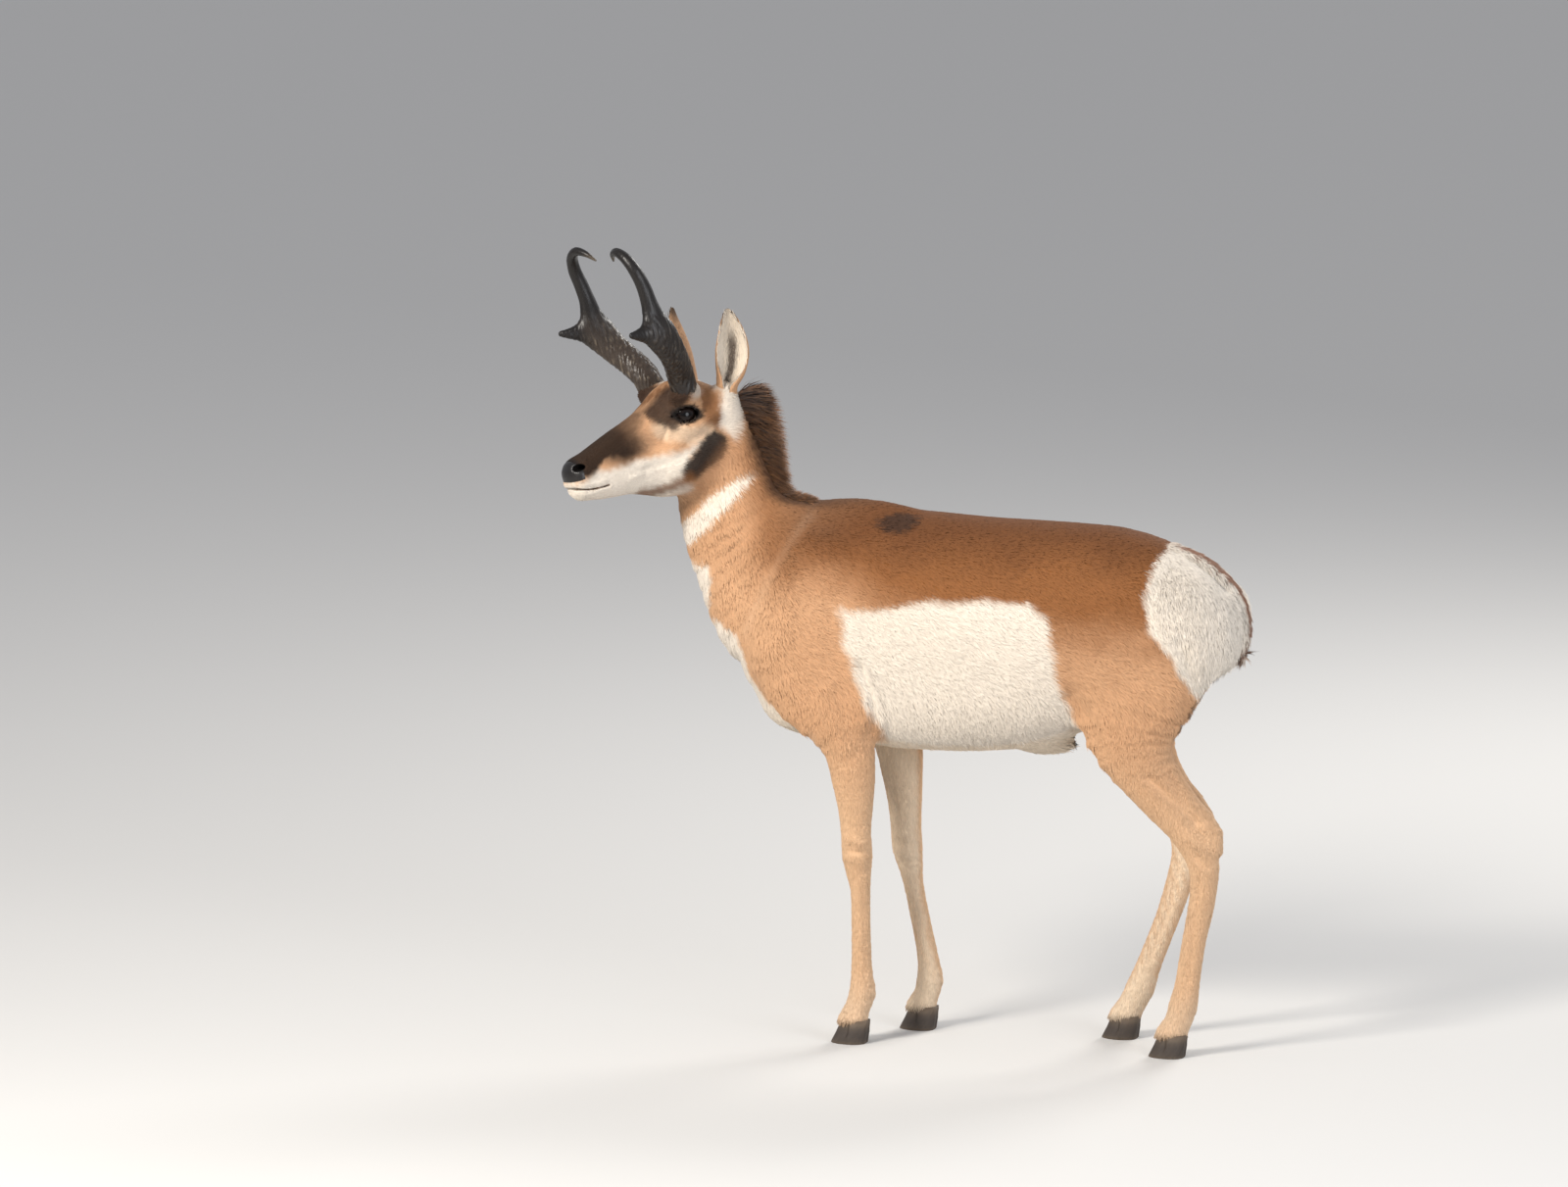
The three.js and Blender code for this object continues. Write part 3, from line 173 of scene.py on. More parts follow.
# Stations of place and two sizes, with steps between each pair on a smooth curve
def refine(stations, steps):
    s = np.asarray(stations, float)
    knots = np.concatenate([[0], np.cumsum(np.linalg.norm(np.diff(s[:, :3], axis=0), axis=1))])
    x = [np.linspace(a, b, steps, endpoint=False) for a, b in zip(knots[:-1], knots[1:])]
    x = np.append(np.concatenate(x), knots[-1])
    return np.stack([smooth_through(knots, s[:, c])(x) for c in range(5)], 1)


# Fields: negative inside, positive outside
def reach(a, b, c, ra, rb, rc, power=2.0):
    if power == 2.0:
        level = np.sqrt((a / ra) ** 2 + (b / rb) ** 2 + (c / rc) ** 2)
    else:
        level = sum(np.abs(v / r) ** power for v, r in ((a, ra), (b, rb), (c, rc))) ** (1 / power)
    return np.sqrt(a * a + b * b + c * c) * (1 - 1 / np.maximum(level, 1e-4))


# The exact field within FAR of a box, and the distance to the box beyond that
def only_near(low, high, exact):
    low, high = np.asarray(low, float), np.asarray(high, float)

    def at(p):
        out = np.maximum(np.maximum(low - p, p - high), 0)
        f = np.sqrt((out * out).sum(1))
        near = f <= FAR
        if near.any():
            f[near] = exact(p[near])
        return f

    return at


# A rounded tube through stations: centre, half depth, half width
def limb(stations, side=(0, 1, 0), steps=2):
    line = refine(stations, steps)
    size = line[:, 3:].max(1, keepdims=True)
    ways = []
    for a, b in zip(line[:-1], line[1:]):
        along = b[:3] - a[:3]
        tangent = unit(along)
        lateral = unit(np.asarray(side, float) - tangent * (tangent @ np.asarray(side, float)))
        ways.append((a, b, along, along @ along, tangent, lateral, np.cross(tangent, lateral)))

    def exact(p):
        least = np.full(len(p), 1e6)
        for a, b, along, square, tangent, lateral, deep_way in ways:
            middle = (a[:3] + b[:3]) / 2
            widest = max(a[3:].max(), b[3:].max())
            bound = np.linalg.norm(p - middle, axis=1) - math.sqrt(square) / 2 - widest
            k = np.nonzero(bound < least)[0]
            if not len(k):
                continue
            q = p[k] - a[:3]
            t = np.clip(q @ along / square, 0, 1)
            q = q - t[:, None] * along
            deep = mix(a[3], b[3], t)
            wide = mix(a[4], b[4], t)
            f = reach(q @ deep_way, q @ lateral, q @ tangent, deep, wide, np.minimum(deep, wide))
            least[k] = np.minimum(least[k], f)
        return least

    return only_near((line[:, :3] - size).min(0), (line[:, :3] + size).max(0), exact)


# A long form with a superellipse section and rounded ends
def loft(table, power, waist, cap):
    x = table[:, 0]
    top, bottom, wide = (smooth_through(x, table[:, c]) for c in (1, 2, 3))

    def exact(p):
        past = p[:, 0] - np.clip(p[:, 0], x[0], x[-1])
        high, low = top(p[:, 0]), bottom(p[:, 0])
        middle = mix(low, high, waist)
        rise = np.where(p[:, 2] > middle, high - middle, middle - low)
        return reach(p[:, 1], p[:, 2] - middle, past, wide(p[:, 0]), rise, cap, power)

    w = table[:, 3].max()
    return only_near((x[0], -w, table[:, 2].min()), (x[-1], w, table[:, 1].max()), exact)


def ball(at, radii):
    at, r = np.asarray(at, float), np.asarray(radii, float)
    return lambda p: reach(*(p - at).T, *r)


def blended(a, b, soft):
    near = np.maximum(soft - np.abs(a - b), 0) / soft
    return np.minimum(a, b) - near * near * soft / 4


def carved(a, b, soft):
    near = np.maximum(soft - np.abs(a + b), 0) / soft
    return np.maximum(a, -b) + near * near * soft / 4


def blend_all(first, rest):
    def at(p):
        f = first(p)
        for g, soft in rest:
            f = blended(f, g(p), soft)
        return f

    return at


def on_both(field):
    return lambda q: field(fold(q))


# Eye frame, in the head's folded frame
eye_out = unit(EYE_FACING)
eye_front = unit(np.array([1.0, 0, 0]) - eye_out * eye_out[0])
eye_up = np.cross(eye_out, eye_front)
if eye_up[2] < 0:
    eye_up = -eye_up
eye_front, eye_up = (eye_front * math.cos(EYE_TILT) + eye_up * math.sin(EYE_TILT),
                     eye_up * math.cos(EYE_TILT) - eye_front * math.sin(EYE_TILT))


# How far outside the almond a point is, and its distance from the eye's middle
def almond(q):
    d = fold(q) - EYE_AT
    a, b, out = d @ eye_front, d @ eye_up, d @ eye_out
    high = EYE_HIGH * np.where(b > 0, 1.0, 0.92) * np.clip(1 - 0.35 * np.abs(a / EYE_WIDE) ** 1.5, 0.3, 1)
    level = np.sqrt((a / EYE_WIDE) ** 2 + (b / high) ** 2)
    slope = np.sqrt((a / EYE_WIDE ** 2) ** 2 + (b / high ** 2) ** 2) / np.maximum(level, 1e-3)
    return (level - 1) / np.maximum(slope, 0.02), np.sqrt((d * d).sum(1)), out, np.sqrt(
        (LID_BOW * a) ** 2 + b * b + out * out), np.sqrt((SOCKET_BOW * a) ** 2 + b * b + out * out)


NOSTRIL = [(222, 29, -15, 10, 5.4), (211, 18, -19, 8.5, 4.8), (199, 12, -23, 4, 3)]
nostril_field = limb(NOSTRIL, (0, 0, 1), 3)
MOUTH_U = smooth_through((170, 198, 218, 244), (-63, -60, -54.5, -40))


def head_exact(q):
    skull = loft(HEAD, 2.35, 0.52, 15)
    nose = ball((207, 0, -30), (22, 28, 23))
    chin = ball((205, 0, -62), (19, 20, 14))
    jaw = on_both(ball((12, 30, -78), (52, 22, 46)))
    orbit = on_both(ball((3, 35, 4), (31, 22, 25)))
    cheekbone = on_both(limb([(40, 33, -24, 10, 12), (0, 46, -22, 10, 12), (-45, 50, -16, 10, 10)]))
    horn_base = on_both(ball((-2, 48, 34), (29, 20, 21)))
    ear_base = on_both(ball((-76, 44, 0), (22, 20, 28)))
    hollow = ball((92, 50, -26), (46, 18, 22))
    flesh = blend_all(skull, [
        (nose, 16), (chin, 12), (jaw, 26), (orbit, 20), (cheekbone, 16), (horn_base, 16), (ear_base, 18)])
    f = carved(flesh(q), on_both(hollow)(q), 18)
    off, r, out, bowed, floor = almond(q)
    ring = np.sqrt(off * off + (bowed - EYE_RADIUS - 2.2) ** 2) - 3.0
    facing = (out > 0) & (r < EYE_RADIUS + 24)
    f = np.where(facing, blended(f, ring, 4.0), f)
    f = np.where(facing, carved(f, np.maximum(off + 1.2, EYE_RADIUS - 1.0 - floor), 1.5), f)
    f = carved(f, r - EYE_RADIUS - 0.4, 1.0)
    f = carved(f, on_both(nostril_field)(q), 3.0)
    line = np.abs(q[:, 2] - MOUTH_U(q[:, 0])) - 0.9 * ease(168, 182, q[:, 0])
    slit = np.maximum(np.maximum(line, -(f + 6.0)), 171 - q[:, 0])
    return carved(f, slit, 1.6)


def body_field():
    heel_right = np.array(HEEL_STRING) + np.array(HEEL_SHIFT + (0, 0))
    elbow = (34, 26, 40)
    legs = [
        (FORE_LEFT, ball((-93, -84, 565), elbow), 24, 26),
        (FORE_RIGHT, ball((-57, 84, 565), elbow), 24, 26),
        (HIND_LEFT, limb(HEEL_STRING), 14, 34),
        (HIND_RIGHT, limb(heel_right), 14, 34)]
    withers = ball((-125, 0, 846), (105, 30, 42))
    buttocks = on_both(ball((452, 52, 706), (66, 52, 92)))
    brisket = ball((-224, 0, 560), (64, 54, 52))
    sheath = ball((196, 0, 503), (46, 22, 20))
    parts = [(withers, 40), (buttocks, 46), (brisket, 40), (limb(NECK, steps=3), 60)]
    for stations, extra, soft, join in legs:
        parts.append((blend_all(limb(stations), [(extra, soft)]), join))
    parts.append((sheath, 24))
    head_middle, head_radius, reach_of_head = from_head((60, 0, -40)), 190.0, 330.0

    def head(p):
        d = np.linalg.norm(p - head_middle, axis=1)
        f = np.maximum(d - head_radius, FAR)
        near = d < reach_of_head
        if near.any():
            f[near] = head_exact(to_head(p[near]))
        return f

    parts += [(head, 34), (limb(TAIL), 10)]
    whole = blend_all(loft(TORSO, 2.25, 0.5, 34), parts)
    return lambda p: np.maximum(whole(p), (HOOF_TOP - 1 - p[:, 2]))


body = body_field()
NECK_CUT_AT = from_head((-125, 0, -30))
NECK_CUT_WAY = unit(np.array([0.494, 0, 0.87]) @ HEAD_AXES)
NECK_ROOT_AT, NECK_ROOT_WAY = np.array([-262, 0, 800]), unit(np.array([-0.62, 0, 0.78]))


# Regions, each from 0 to 1
def share_of_head(p):
    return ease(-25, 25, (p - NECK_CUT_AT) @ NECK_CUT_WAY)


def share_of_leg(p):
    return ease(600, 470, p[:, 2]) * (1 - share_of_head(p))


def share_of_neck(p):
    return ease(-60, 60, (p - NECK_ROOT_AT) @ NECK_ROOT_WAY) * (1 - share_of_head(p))


# How far a point in a side view is outside a closed outline
def outside(u, v, outline):
    o = np.asarray(outline, float)
    least = np.full(len(u), 1e9)
    inside = np.zeros(len(u), bool)
    for (ax, ay), (bx, by) in zip(o, np.roll(o, -1, 0)):
        dx, dy = bx - ax, by - ay
        t = np.clip(((u - ax) * dx + (v - ay) * dy) / (dx * dx + dy * dy), 0, 1)
        least = np.minimum(least, (u - ax - t * dx) ** 2 + (v - ay - t * dy) ** 2)
        if by != ay:
            crosses = (ay > v) != (by > v)
            inside ^= crosses & (u < ax + (v - ay) * dx / dy)
    return np.sqrt(least) * np.where(inside, -1, 1)


def near_line(points, line):
    line = np.asarray(line, float)
    least = np.full(len(points), 1e9)
    for a, b in zip(line[:-1], line[1:]):
        along = b - a
        t = np.clip((points - a) @ along / (along @ along), 0, 1)
        least = np.minimum(least, ((points - a - t[:, None] * along) ** 2).sum(1))
    return np.sqrt(least)


def near_side_line(u, v, line):
    return near_line(np.stack([u, v], 1), line)


# Smooth seeded noise, about -1 to 1
def waves(seed, size, count=7):
    r = np.random.default_rng(seed)
    k = unit(r.normal(size=(count, 3))) * (2 * math.pi / size) * r.uniform(0.6, 1.6, (count, 1))
    shift = r.uniform(0, 2 * math.pi, count)
    return lambda p: np.sin(p @ k.T + shift).sum(1) / math.sqrt(count) * 0.8


broad = waves(1, 170)
patchy = waves(2, 46)
fine = waves(3, 14)


def rgb(r, g, b):
    c = np.array([r, g, b]) / 255
    return np.where(c <= 0.04045, c / 12.92, ((c + 0.055) / 1.055) ** 2.4)


RUSSET = rgb(142, 92, 51)
BACK = rgb(106, 65, 35)
TAN = rgb(206, 162, 124)
SAND = rgb(216, 180, 144)
WHITE = rgb(229, 219, 205)
CREAM = rgb(232, 212, 186)
BLACK = rgb(30, 25, 23)
UMBER = rgb(60, 40, 28)
GREYED = rgb(128, 99, 78)
RUST = rgb(168, 98, 52)

# Outlines and lines of the markings, and the line of painted shade under the jaw, in a side view of the
# body or of the head's own frame
FLANK = [(-130, 730), (-46, 739), (54, 754), (121, 762), (188, 755), (218, 733), (229, 687), (238, 622),
         (254, 575), (264, 548), (264, 440), (-62, 440), (-60, 534), (-74, 552), (-95, 590), (-112, 639),
         (-132, 704)]
RUMP = [(424, 880), (403, 854), (386, 815), (383, 766), (393, 717), (415, 693), (448, 637), (474, 600),
        (500, 590), (620, 590), (620, 880)]
CRESCENT = [(-322, 934), (-297, 942), (-300, 927), (-366, 855), (-405, 822), (-460, 805), (-470, 850),
            (-412, 858), (-384, 879), (-345, 919)]
LOW_THROAT = [(-440, 800), (-398, 788), (-367, 788), (-363, 765), (-368, 736), (-372, 712), (-400, 690),
              (-440, 700)]
CHEST = [(-352, 700), (-304, 684), (-293, 611), (-267, 568), (-232, 547), (-175, 512), (-60, 520),
         (-60, 440), (-330, 440), (-420, 640)]
OVAL = (-52, 866, 33, 13)
MUZZLE = [(250, -2), (219, 9), (177, 19), (144, 28), (103, 34), (74, 34), (70, 18), (92, 4), (116, -9),
          (157, -20), (190, -31), (207, -36), (225, -33), (250, -22)]
PALE_FACE = [(260, -36), (215, -40), (187, -33), (119, -43), (62, -50), (11, -52), (-6, -52), (10, -60),
             (28, -70), (43, -84), (45, -101), (20, -140), (260, -140)]
CHEEK = [(-34, -36), (-50, -58), (-40, -84), (-14, -100), (20, -107), (46, -103), (44, -84), (30, -68),
         (14, -57), (-4, -46), (-16, -38)]
BROW = [(66, 60), (16, 58), (4, 34), (14, 20), (25, 10), (28, -4), (40, -8), (54, 6), (70, 34)]
BEHIND_EYE = [(-30, 36), (-62, 14), (-60, -24), (-38, -44), (-16, -22), (-24, 8)]
EAR_ROOT = [(-66, 34), (-100, 20), (-100, -30), (-62, -74), (-40, -34), (-60, -4)]
UNDER_EYE = [(52, -10), (16, -34), (-20, -40)]
# Line along the underside of the jaw where a brown band of painted shade goes
JAW_SHADE_LINE = [(36, -100), (70, -106), (112, -100)]
SHOULDER_LINE = [(-296, 687), (-259, 765), (-204, 871)]
TAIL_LINE = [(398, 852), (446, 838), (500, 806), (532, 752), (545, 700), (540, 660)]
TAIL_HAIR_LINE = [(404, 846), (446, 832), (488, 806), (524, 760), (540, 704), (534, 664)]


def paint(colour, tint, share):
    return colour + (tint - colour) * share[:, None]


def edge(distance, soft):
    return ease(soft, -soft, distance)


def head_colour(p):
    q = fold(to_head(p))
    f, side, u = q.T
    wobble = patchy(p) * 3.0 + fine(p) * 1.6

    def within(outline, more=0, soft=9):
        return edge(outside(f, u, outline) + more + wobble, soft)

    c = np.tile(TAN * 0.94, (len(p), 1))
    crown = ease(10, 34, u) * ease(96, 44, np.abs(f))
    c = paint(c, mix(RUSSET, UMBER, 0.5), crown * np.clip(0.6 + wobble * 0.1, 0.2, 0.9))
    from_horn = np.hypot(f + 3, side - 50) - 30 + wobble
    pale = ease(14, 30, u) * ease(12, -4, from_horn) * ease(6, -14, f)
    c = paint(c, CREAM, edge(near_side_line(f, u, UNDER_EYE) - 13 + wobble, 9) * 0.55)
    c = paint(c, WHITE, within(PALE_FACE) * 0.96)
    c = paint(c, mix(RUSSET, UMBER, 0.4), within(BEHIND_EYE) * 0.85)
    c = paint(c, WHITE, within(EAR_ROOT, soft=8) * ease(16, 34, side) * 0.92)
    c = paint(c, mix(UMBER, BLACK, 0.5), within(BROW, -5, 6) * ease(4, 22, side) * 0.92)
    c = paint(c, WHITE * 0.85, pale * 0.7)
    off, r = almond(q)[:2]
    c = paint(c, BLACK, edge(off - 5 + wobble * 0.3, 3.0) * (r < EYE_RADIUS + 16) * 0.95)
    nose_top = ease(-34, -6, u + ease(190, 120, f) * 26 - 6 + wobble * 0.8)
    deep = np.maximum(within(MUZZLE, soft=6), nose_top * ease(66, 104, f + wobble))
    nose_brown = mix(UMBER * 1.1, UMBER * 0.36, ease(80, 140, f)[:, None])
    c = paint(c, nose_brown, deep * mix(0.55, 0.97, ease(70, 125, f + wobble)))
    c = paint(c, UMBER, ease(20, 78, f) * ease(8, 26, u) * 0.45)
    c = paint(c, BLACK, ease(206, 216, f) * ease(-36, -28, u) * 0.9)
    c = paint(c, BLACK * 1.3, within(CHEEK, 2, 6) * ease(10, 26, side) * 0.96)
    # Painted shade: a brown band along the underside of the jaw, darkening the white there
    jaw = near_side_line(f, u, JAW_SHADE_LINE) - 8 + wobble
    c = paint(c, mix(RUSSET, UMBER, 0.4), edge(jaw, 7) * 0.8)
    mouth = np.abs(u - MOUTH_U(f)) - 1.6
    return paint(c, UMBER, edge(mouth, 1.4) * ease(168, 176, f) * 0.8)


# The coat's colour at points on the body
def markings_and_jaw_shade(p):
    x, y, z = p.T
    a = np.abs(y)
    wobble = broad(p) * 3 + patchy(p) * 2.5 + fine(p) * 2
    far_side = (y > 0) * ease(640, 560, z) * mix(36, -28, ease(50, 200, x))

    def within(outline, roughness=0.6, soft=6, move=0):
        return edge(outside(x - move, z, outline) + wobble * roughness, soft)

    c = np.tile(RUSSET, (len(p), 1))
    level = mix(775, 700, ease(-170, 60, x))
    c = paint(c, TAN, ease(65, -65, z + wobble * 2 - level) * 0.92)
    c = paint(c, BACK, ease(770, 868, z + wobble * 2) * ease(-320, -190, x) * 0.92)
    c = paint(c, TAN, ease(-190, -330, x) * ease(820, 760, z) * 0.7)
    c = paint(c, SAND, ease(560, 360, z + wobble) * 0.8)
    neck = share_of_neck(p)
    nape = ease(-330, -270, x + (z - 900) * 0.25)
    c = paint(c, TAN, neck * (1 - nape * 0.75) * 0.8)
    c = paint(c, UMBER, neck * ease(34, 12, a - broad(p) * 3) * nape * 0.75)
    c = paint(c, WHITE, within(CRESCENT) * 0.95)
    c = paint(c, WHITE, within(LOW_THROAT) * 0.95)
    between = 1 - ease(44, 56, a) * ease(-190, -168, x - far_side) * ease(560, 530, z)
    chest = outside(x - far_side, z, CHEST) + wobble * 0.8 + (a - 50) * 0.5
    c = paint(c, WHITE, edge(chest, 9) * between * 0.95)
    c = paint(c, CREAM, edge(near_side_line(x, z, SHOULDER_LINE) - 5, 14) * 0.1)
    c = paint(c, WHITE, within(FLANK, 1, 9, far_side) * 0.96)
    under = ease(560, 520, z + (a - 60) * 0.4) * ease(420, 450, z) * between
    c = paint(c, WHITE, under * ease(-190, -150, x) * ease(330, 290, x) * 0.95)
    c = paint(c, WHITE, within(RUMP, 0.7, 7) * ease(575, 590, z) * 0.97)
    tail = edge(near_side_line(x, z, TAIL_LINE) - 30, 8) * ease(392, 420, x)
    tail = tail * edge(a - 8 + fine(p) * 1.5, 4)
    c = paint(c, mix(RUST * 0.8, UMBER, 0.45), tail * 0.9)
    c = paint(c, UMBER, tail * ease(770, 720, z) * 0.25)
    spot = np.hypot((x - OVAL[0]) / OVAL[2], (z - OVAL[1]) / OVAL[3]) * 12 - 12
    c = paint(c, UMBER, edge(spot + fine(p) * 2, 4) * (y < -20) * 0.9)
    leg = share_of_leg(p)
    inner = ease(74, 60, a + fine(p) * 2) * ease(620, 520, z)
    c = paint(c, CREAM, inner * leg * 0.8)
    c = paint(c, CREAM, ease(130, 60, z) * 0.3)
    c = paint(c, UMBER, ease(46, 36, z) * 0.5)
    head = share_of_head(p)
    on_head = head > 0.001
    if on_head.any():
        c[on_head] = mix(c[on_head], head_colour(p[on_head]), head[on_head][:, None])
    return np.clip(c, 0.004, 1)


# The short coat on the body, legs, face and muzzle, in mm and in tufts per square mm
COAT_DEPTH = (4.6, 2.2, 1.6, 0.8)
COAT_LENGTH = (17.0, 9.0, 8.0, 4.4)
COAT_WIDTH = (2.7, 1.8, 1.5, 1.1)
COAT_DENSITY = (0.130, 0.24, 0.36, 0.52)
EAR_DENSITY = 0.40
RUMP_DEPTH = 2.4
# Hairs of the mane and of each upper lid, and where the mane starts and ends
MANE_HAIRS, LASHES = 8200, 60
MANE_TOP, MANE_END = np.array([-312.0, 4, 1078]), np.array([-206.0, 0, 904])


def by_region(measures, p, muzzle_from):
    body_value, leg_value, face_value, muzzle_value = measures
    face = mix(face_value, muzzle_value, ease(muzzle_from, 170, to_head(p)[:, 0]))
    return mix(mix(body_value, leg_value, share_of_leg(p)), face, share_of_head(p))


# Depth of the coat above the skin
def coat_depth(p):
    return by_region(COAT_DEPTH, p, 90) + RUMP_DEPTH * edge(outside(p[:, 0], p[:, 2], RUMP), 20)


# The way that the hair lies
def lie_of(p, n):
    x, y, z = p.T
    side = np.sign(y)
    one = np.ones(len(p))
    trunk = np.stack([one, 0 * one, -0.30 - 0.25 * np.abs(n[:, 1])], 1)
    neck, legs = np.array([0.5, 0, -0.85]), np.array([0.12, 0, -1])
    front = np.stack([0.3 * one, side * 0.15, -one], 1)
    rump = np.stack([0.3 * one, side * 0.1, -one], 1)
    t = mix(trunk, neck, ease(-200, -330, x)[:, None])
    t = mix(t, front, (ease(-170, -260, x) * ease(800, 700, z))[:, None])
    t = mix(t, legs, (ease(660, 520, z) * ease(60, 90, np.abs(y) + ease(540, 480, z) * 60))[:, None])
    t = mix(t, rump, edge(outside(x, z, RUMP), 30)[:, None])
    q = to_head(p)
    head = np.stack([-one, np.sign(q[:, 1]) * 0.1, -0.25 * ease(20, -40, q[:, 2])], 1) @ HEAD_AXES
    t = mix(t, head, share_of_head(p)[:, None])
    t = t + 0.10 * np.stack([patchy(p), broad(p[:, [2, 0, 1]]), patchy(p[:, [1, 2, 0]])], 1)
    t = t - n * (t * n).sum(1, keepdims=True)
    return unit(t)


# Folds, tendons and muscle edges in a side view of each side: line, height, half width
RELIEF_LEFT = [
    ([(-84, 515), (-70, 556), (-78, 600), (-94, 640)], -5.5, 8),
    ([(-120, 500), (-150, 560), (-150, 600)], 2.5, 16),
    ([(-230, 830), (-208, 760), (-222, 690), (-250, 650)], 4, 24),
    ([(-232, 828), (-268, 758), (-288, 691), (-292, 625)], -3.6, 15),
    ([(262, 600), (290, 560), (306, 520)], -5, 14), ([(445, 700), (462, 640), (446, 560)], -4, 13),
    ([(330, 812), (350, 790)], 5, 30), ([(395, 470), (432, 438), (470, 398)], -4.5, 8),
    ([(436, 470), (468, 420), (492, 382)], 1.5, 5), ([(-94, 262), (-92, 200), (-90, 120)], -1.6, 4),
    ([(-103, 262), (-101, 190), (-100, 110)], 1.0, 4), ([(476, 300), (466, 230), (456, 130)], -1.8, 4.5),
    ([(-120, 345), (-96, 338)], 2, 9), ([(-122, 312), (-92, 306)], 1.8, 8),
    ([(-112, 326), (-98, 324)], -1.5, 5), ([(455, 372), (485, 352)], 2, 9),
    ([(472, 340), (490, 322)], -2, 6), ([(-125, 460), (-112, 400)], 1.5, 6),
    ([(420, 460), (452, 408)], 1.5, 5)]
RELIEF_RIGHT = [
    ([(-48, 515), (-34, 556), (-42, 600), (-58, 640)], -5.5, 8),
    ([(-205, 830), (-185, 760), (-200, 690), (-230, 650)], 4, 24),
    ([(-222, 828), (-250, 758), (-272, 691), (-282, 625)], -5, 13),
    ([(240, 600), (268, 560), (284, 520)], -5, 14), ([(425, 700), (442, 640), (420, 560)], -4, 13),
    ([(320, 812), (340, 790)], 5, 30), ([(352, 470), (385, 438), (420, 398)], -4.5, 8),
    ([(405, 300), (390, 230), (352, 130)], -1.8, 4.5), ([(-72, 330), (-48, 322)], 2, 9),
    ([(-70, 298), (-46, 292)], 1.8, 8)]
# The same on the head, in its folded frame
RELIEF_HEAD = [
    ([(100, 34, -46), (36, 46, -38), (-30, 52, -18)], 2.2, 9), ([(100, 33, -64), (34, 46, -62)], -2.2, 9),
    ([(-6, 48, -56), (34, 46, -100)], 2, 12), ([(-38, 50, 12), (-46, 52, 2)], -3.5, 12),
    ([(56, 24, 20), (160, 20, 0)], 1.4, 7), ([(234, 20, -16), (218, 27, -4), (200, 24, -8)], 2.0, 5),
    ([(232, 12, -43), (214, 24, -48), (178, 30, -55)], 1.6, 5),
    ([(226, 12, -58), (205, 22, -65), (172, 29, -70)], 1.4, 5),
    ([(26, 44, 14), (4, 50, 20), (-24, 50, 12)], 2.4, 6),
    ([(27, 42, 6), (44, 40, -8), (56, 38, -26)], -1.6, 5),
    ([(22, 50, -14), (-2, 54, -19), (-26, 52, -14)], -1.4, 4),
    ([(20, 50, -20), (-2, 54, -25), (-26, 52, -20)], 1.2, 4), ([(-30, 52, 2), (-44, 52, -4)], -1.2, 3),
    ([(60, 36, -70), (130, 28, -66)], 1.2, 5)]


def relief(p, n):
    lift = np.zeros(len(p))
    for lines, side in ((RELIEF_LEFT, -1), (RELIEF_RIGHT, 1)):
        k = np.nonzero((p[:, 1] * side > 8) & (share_of_head(p) < 0.5))[0]
        flat = n[k, 1] ** 2
        for line, high, wide in lines:
            lift[k] += high * np.exp(-(near_line(p[k][:, [0, 2]], line) / wide) ** 2) * flat
    k = np.nonzero(share_of_head(p) > 0.3)[0]
    q = fold(to_head(p[k]))
    for line, high, wide in RELIEF_HEAD:
        lift[k] += high * np.exp(-(near_line(q, line) / wide) ** 2)
    return lift


SKIN_BOX = ((-660, -270, 20), (590, 190, 1160))
HORN_BOX = ((-36, 16, 14), (114, 126, 318))
CORNERS = np.array([(i, j, k) for i in (0, 1) for j in (0, 1) for k in (0, 1)])


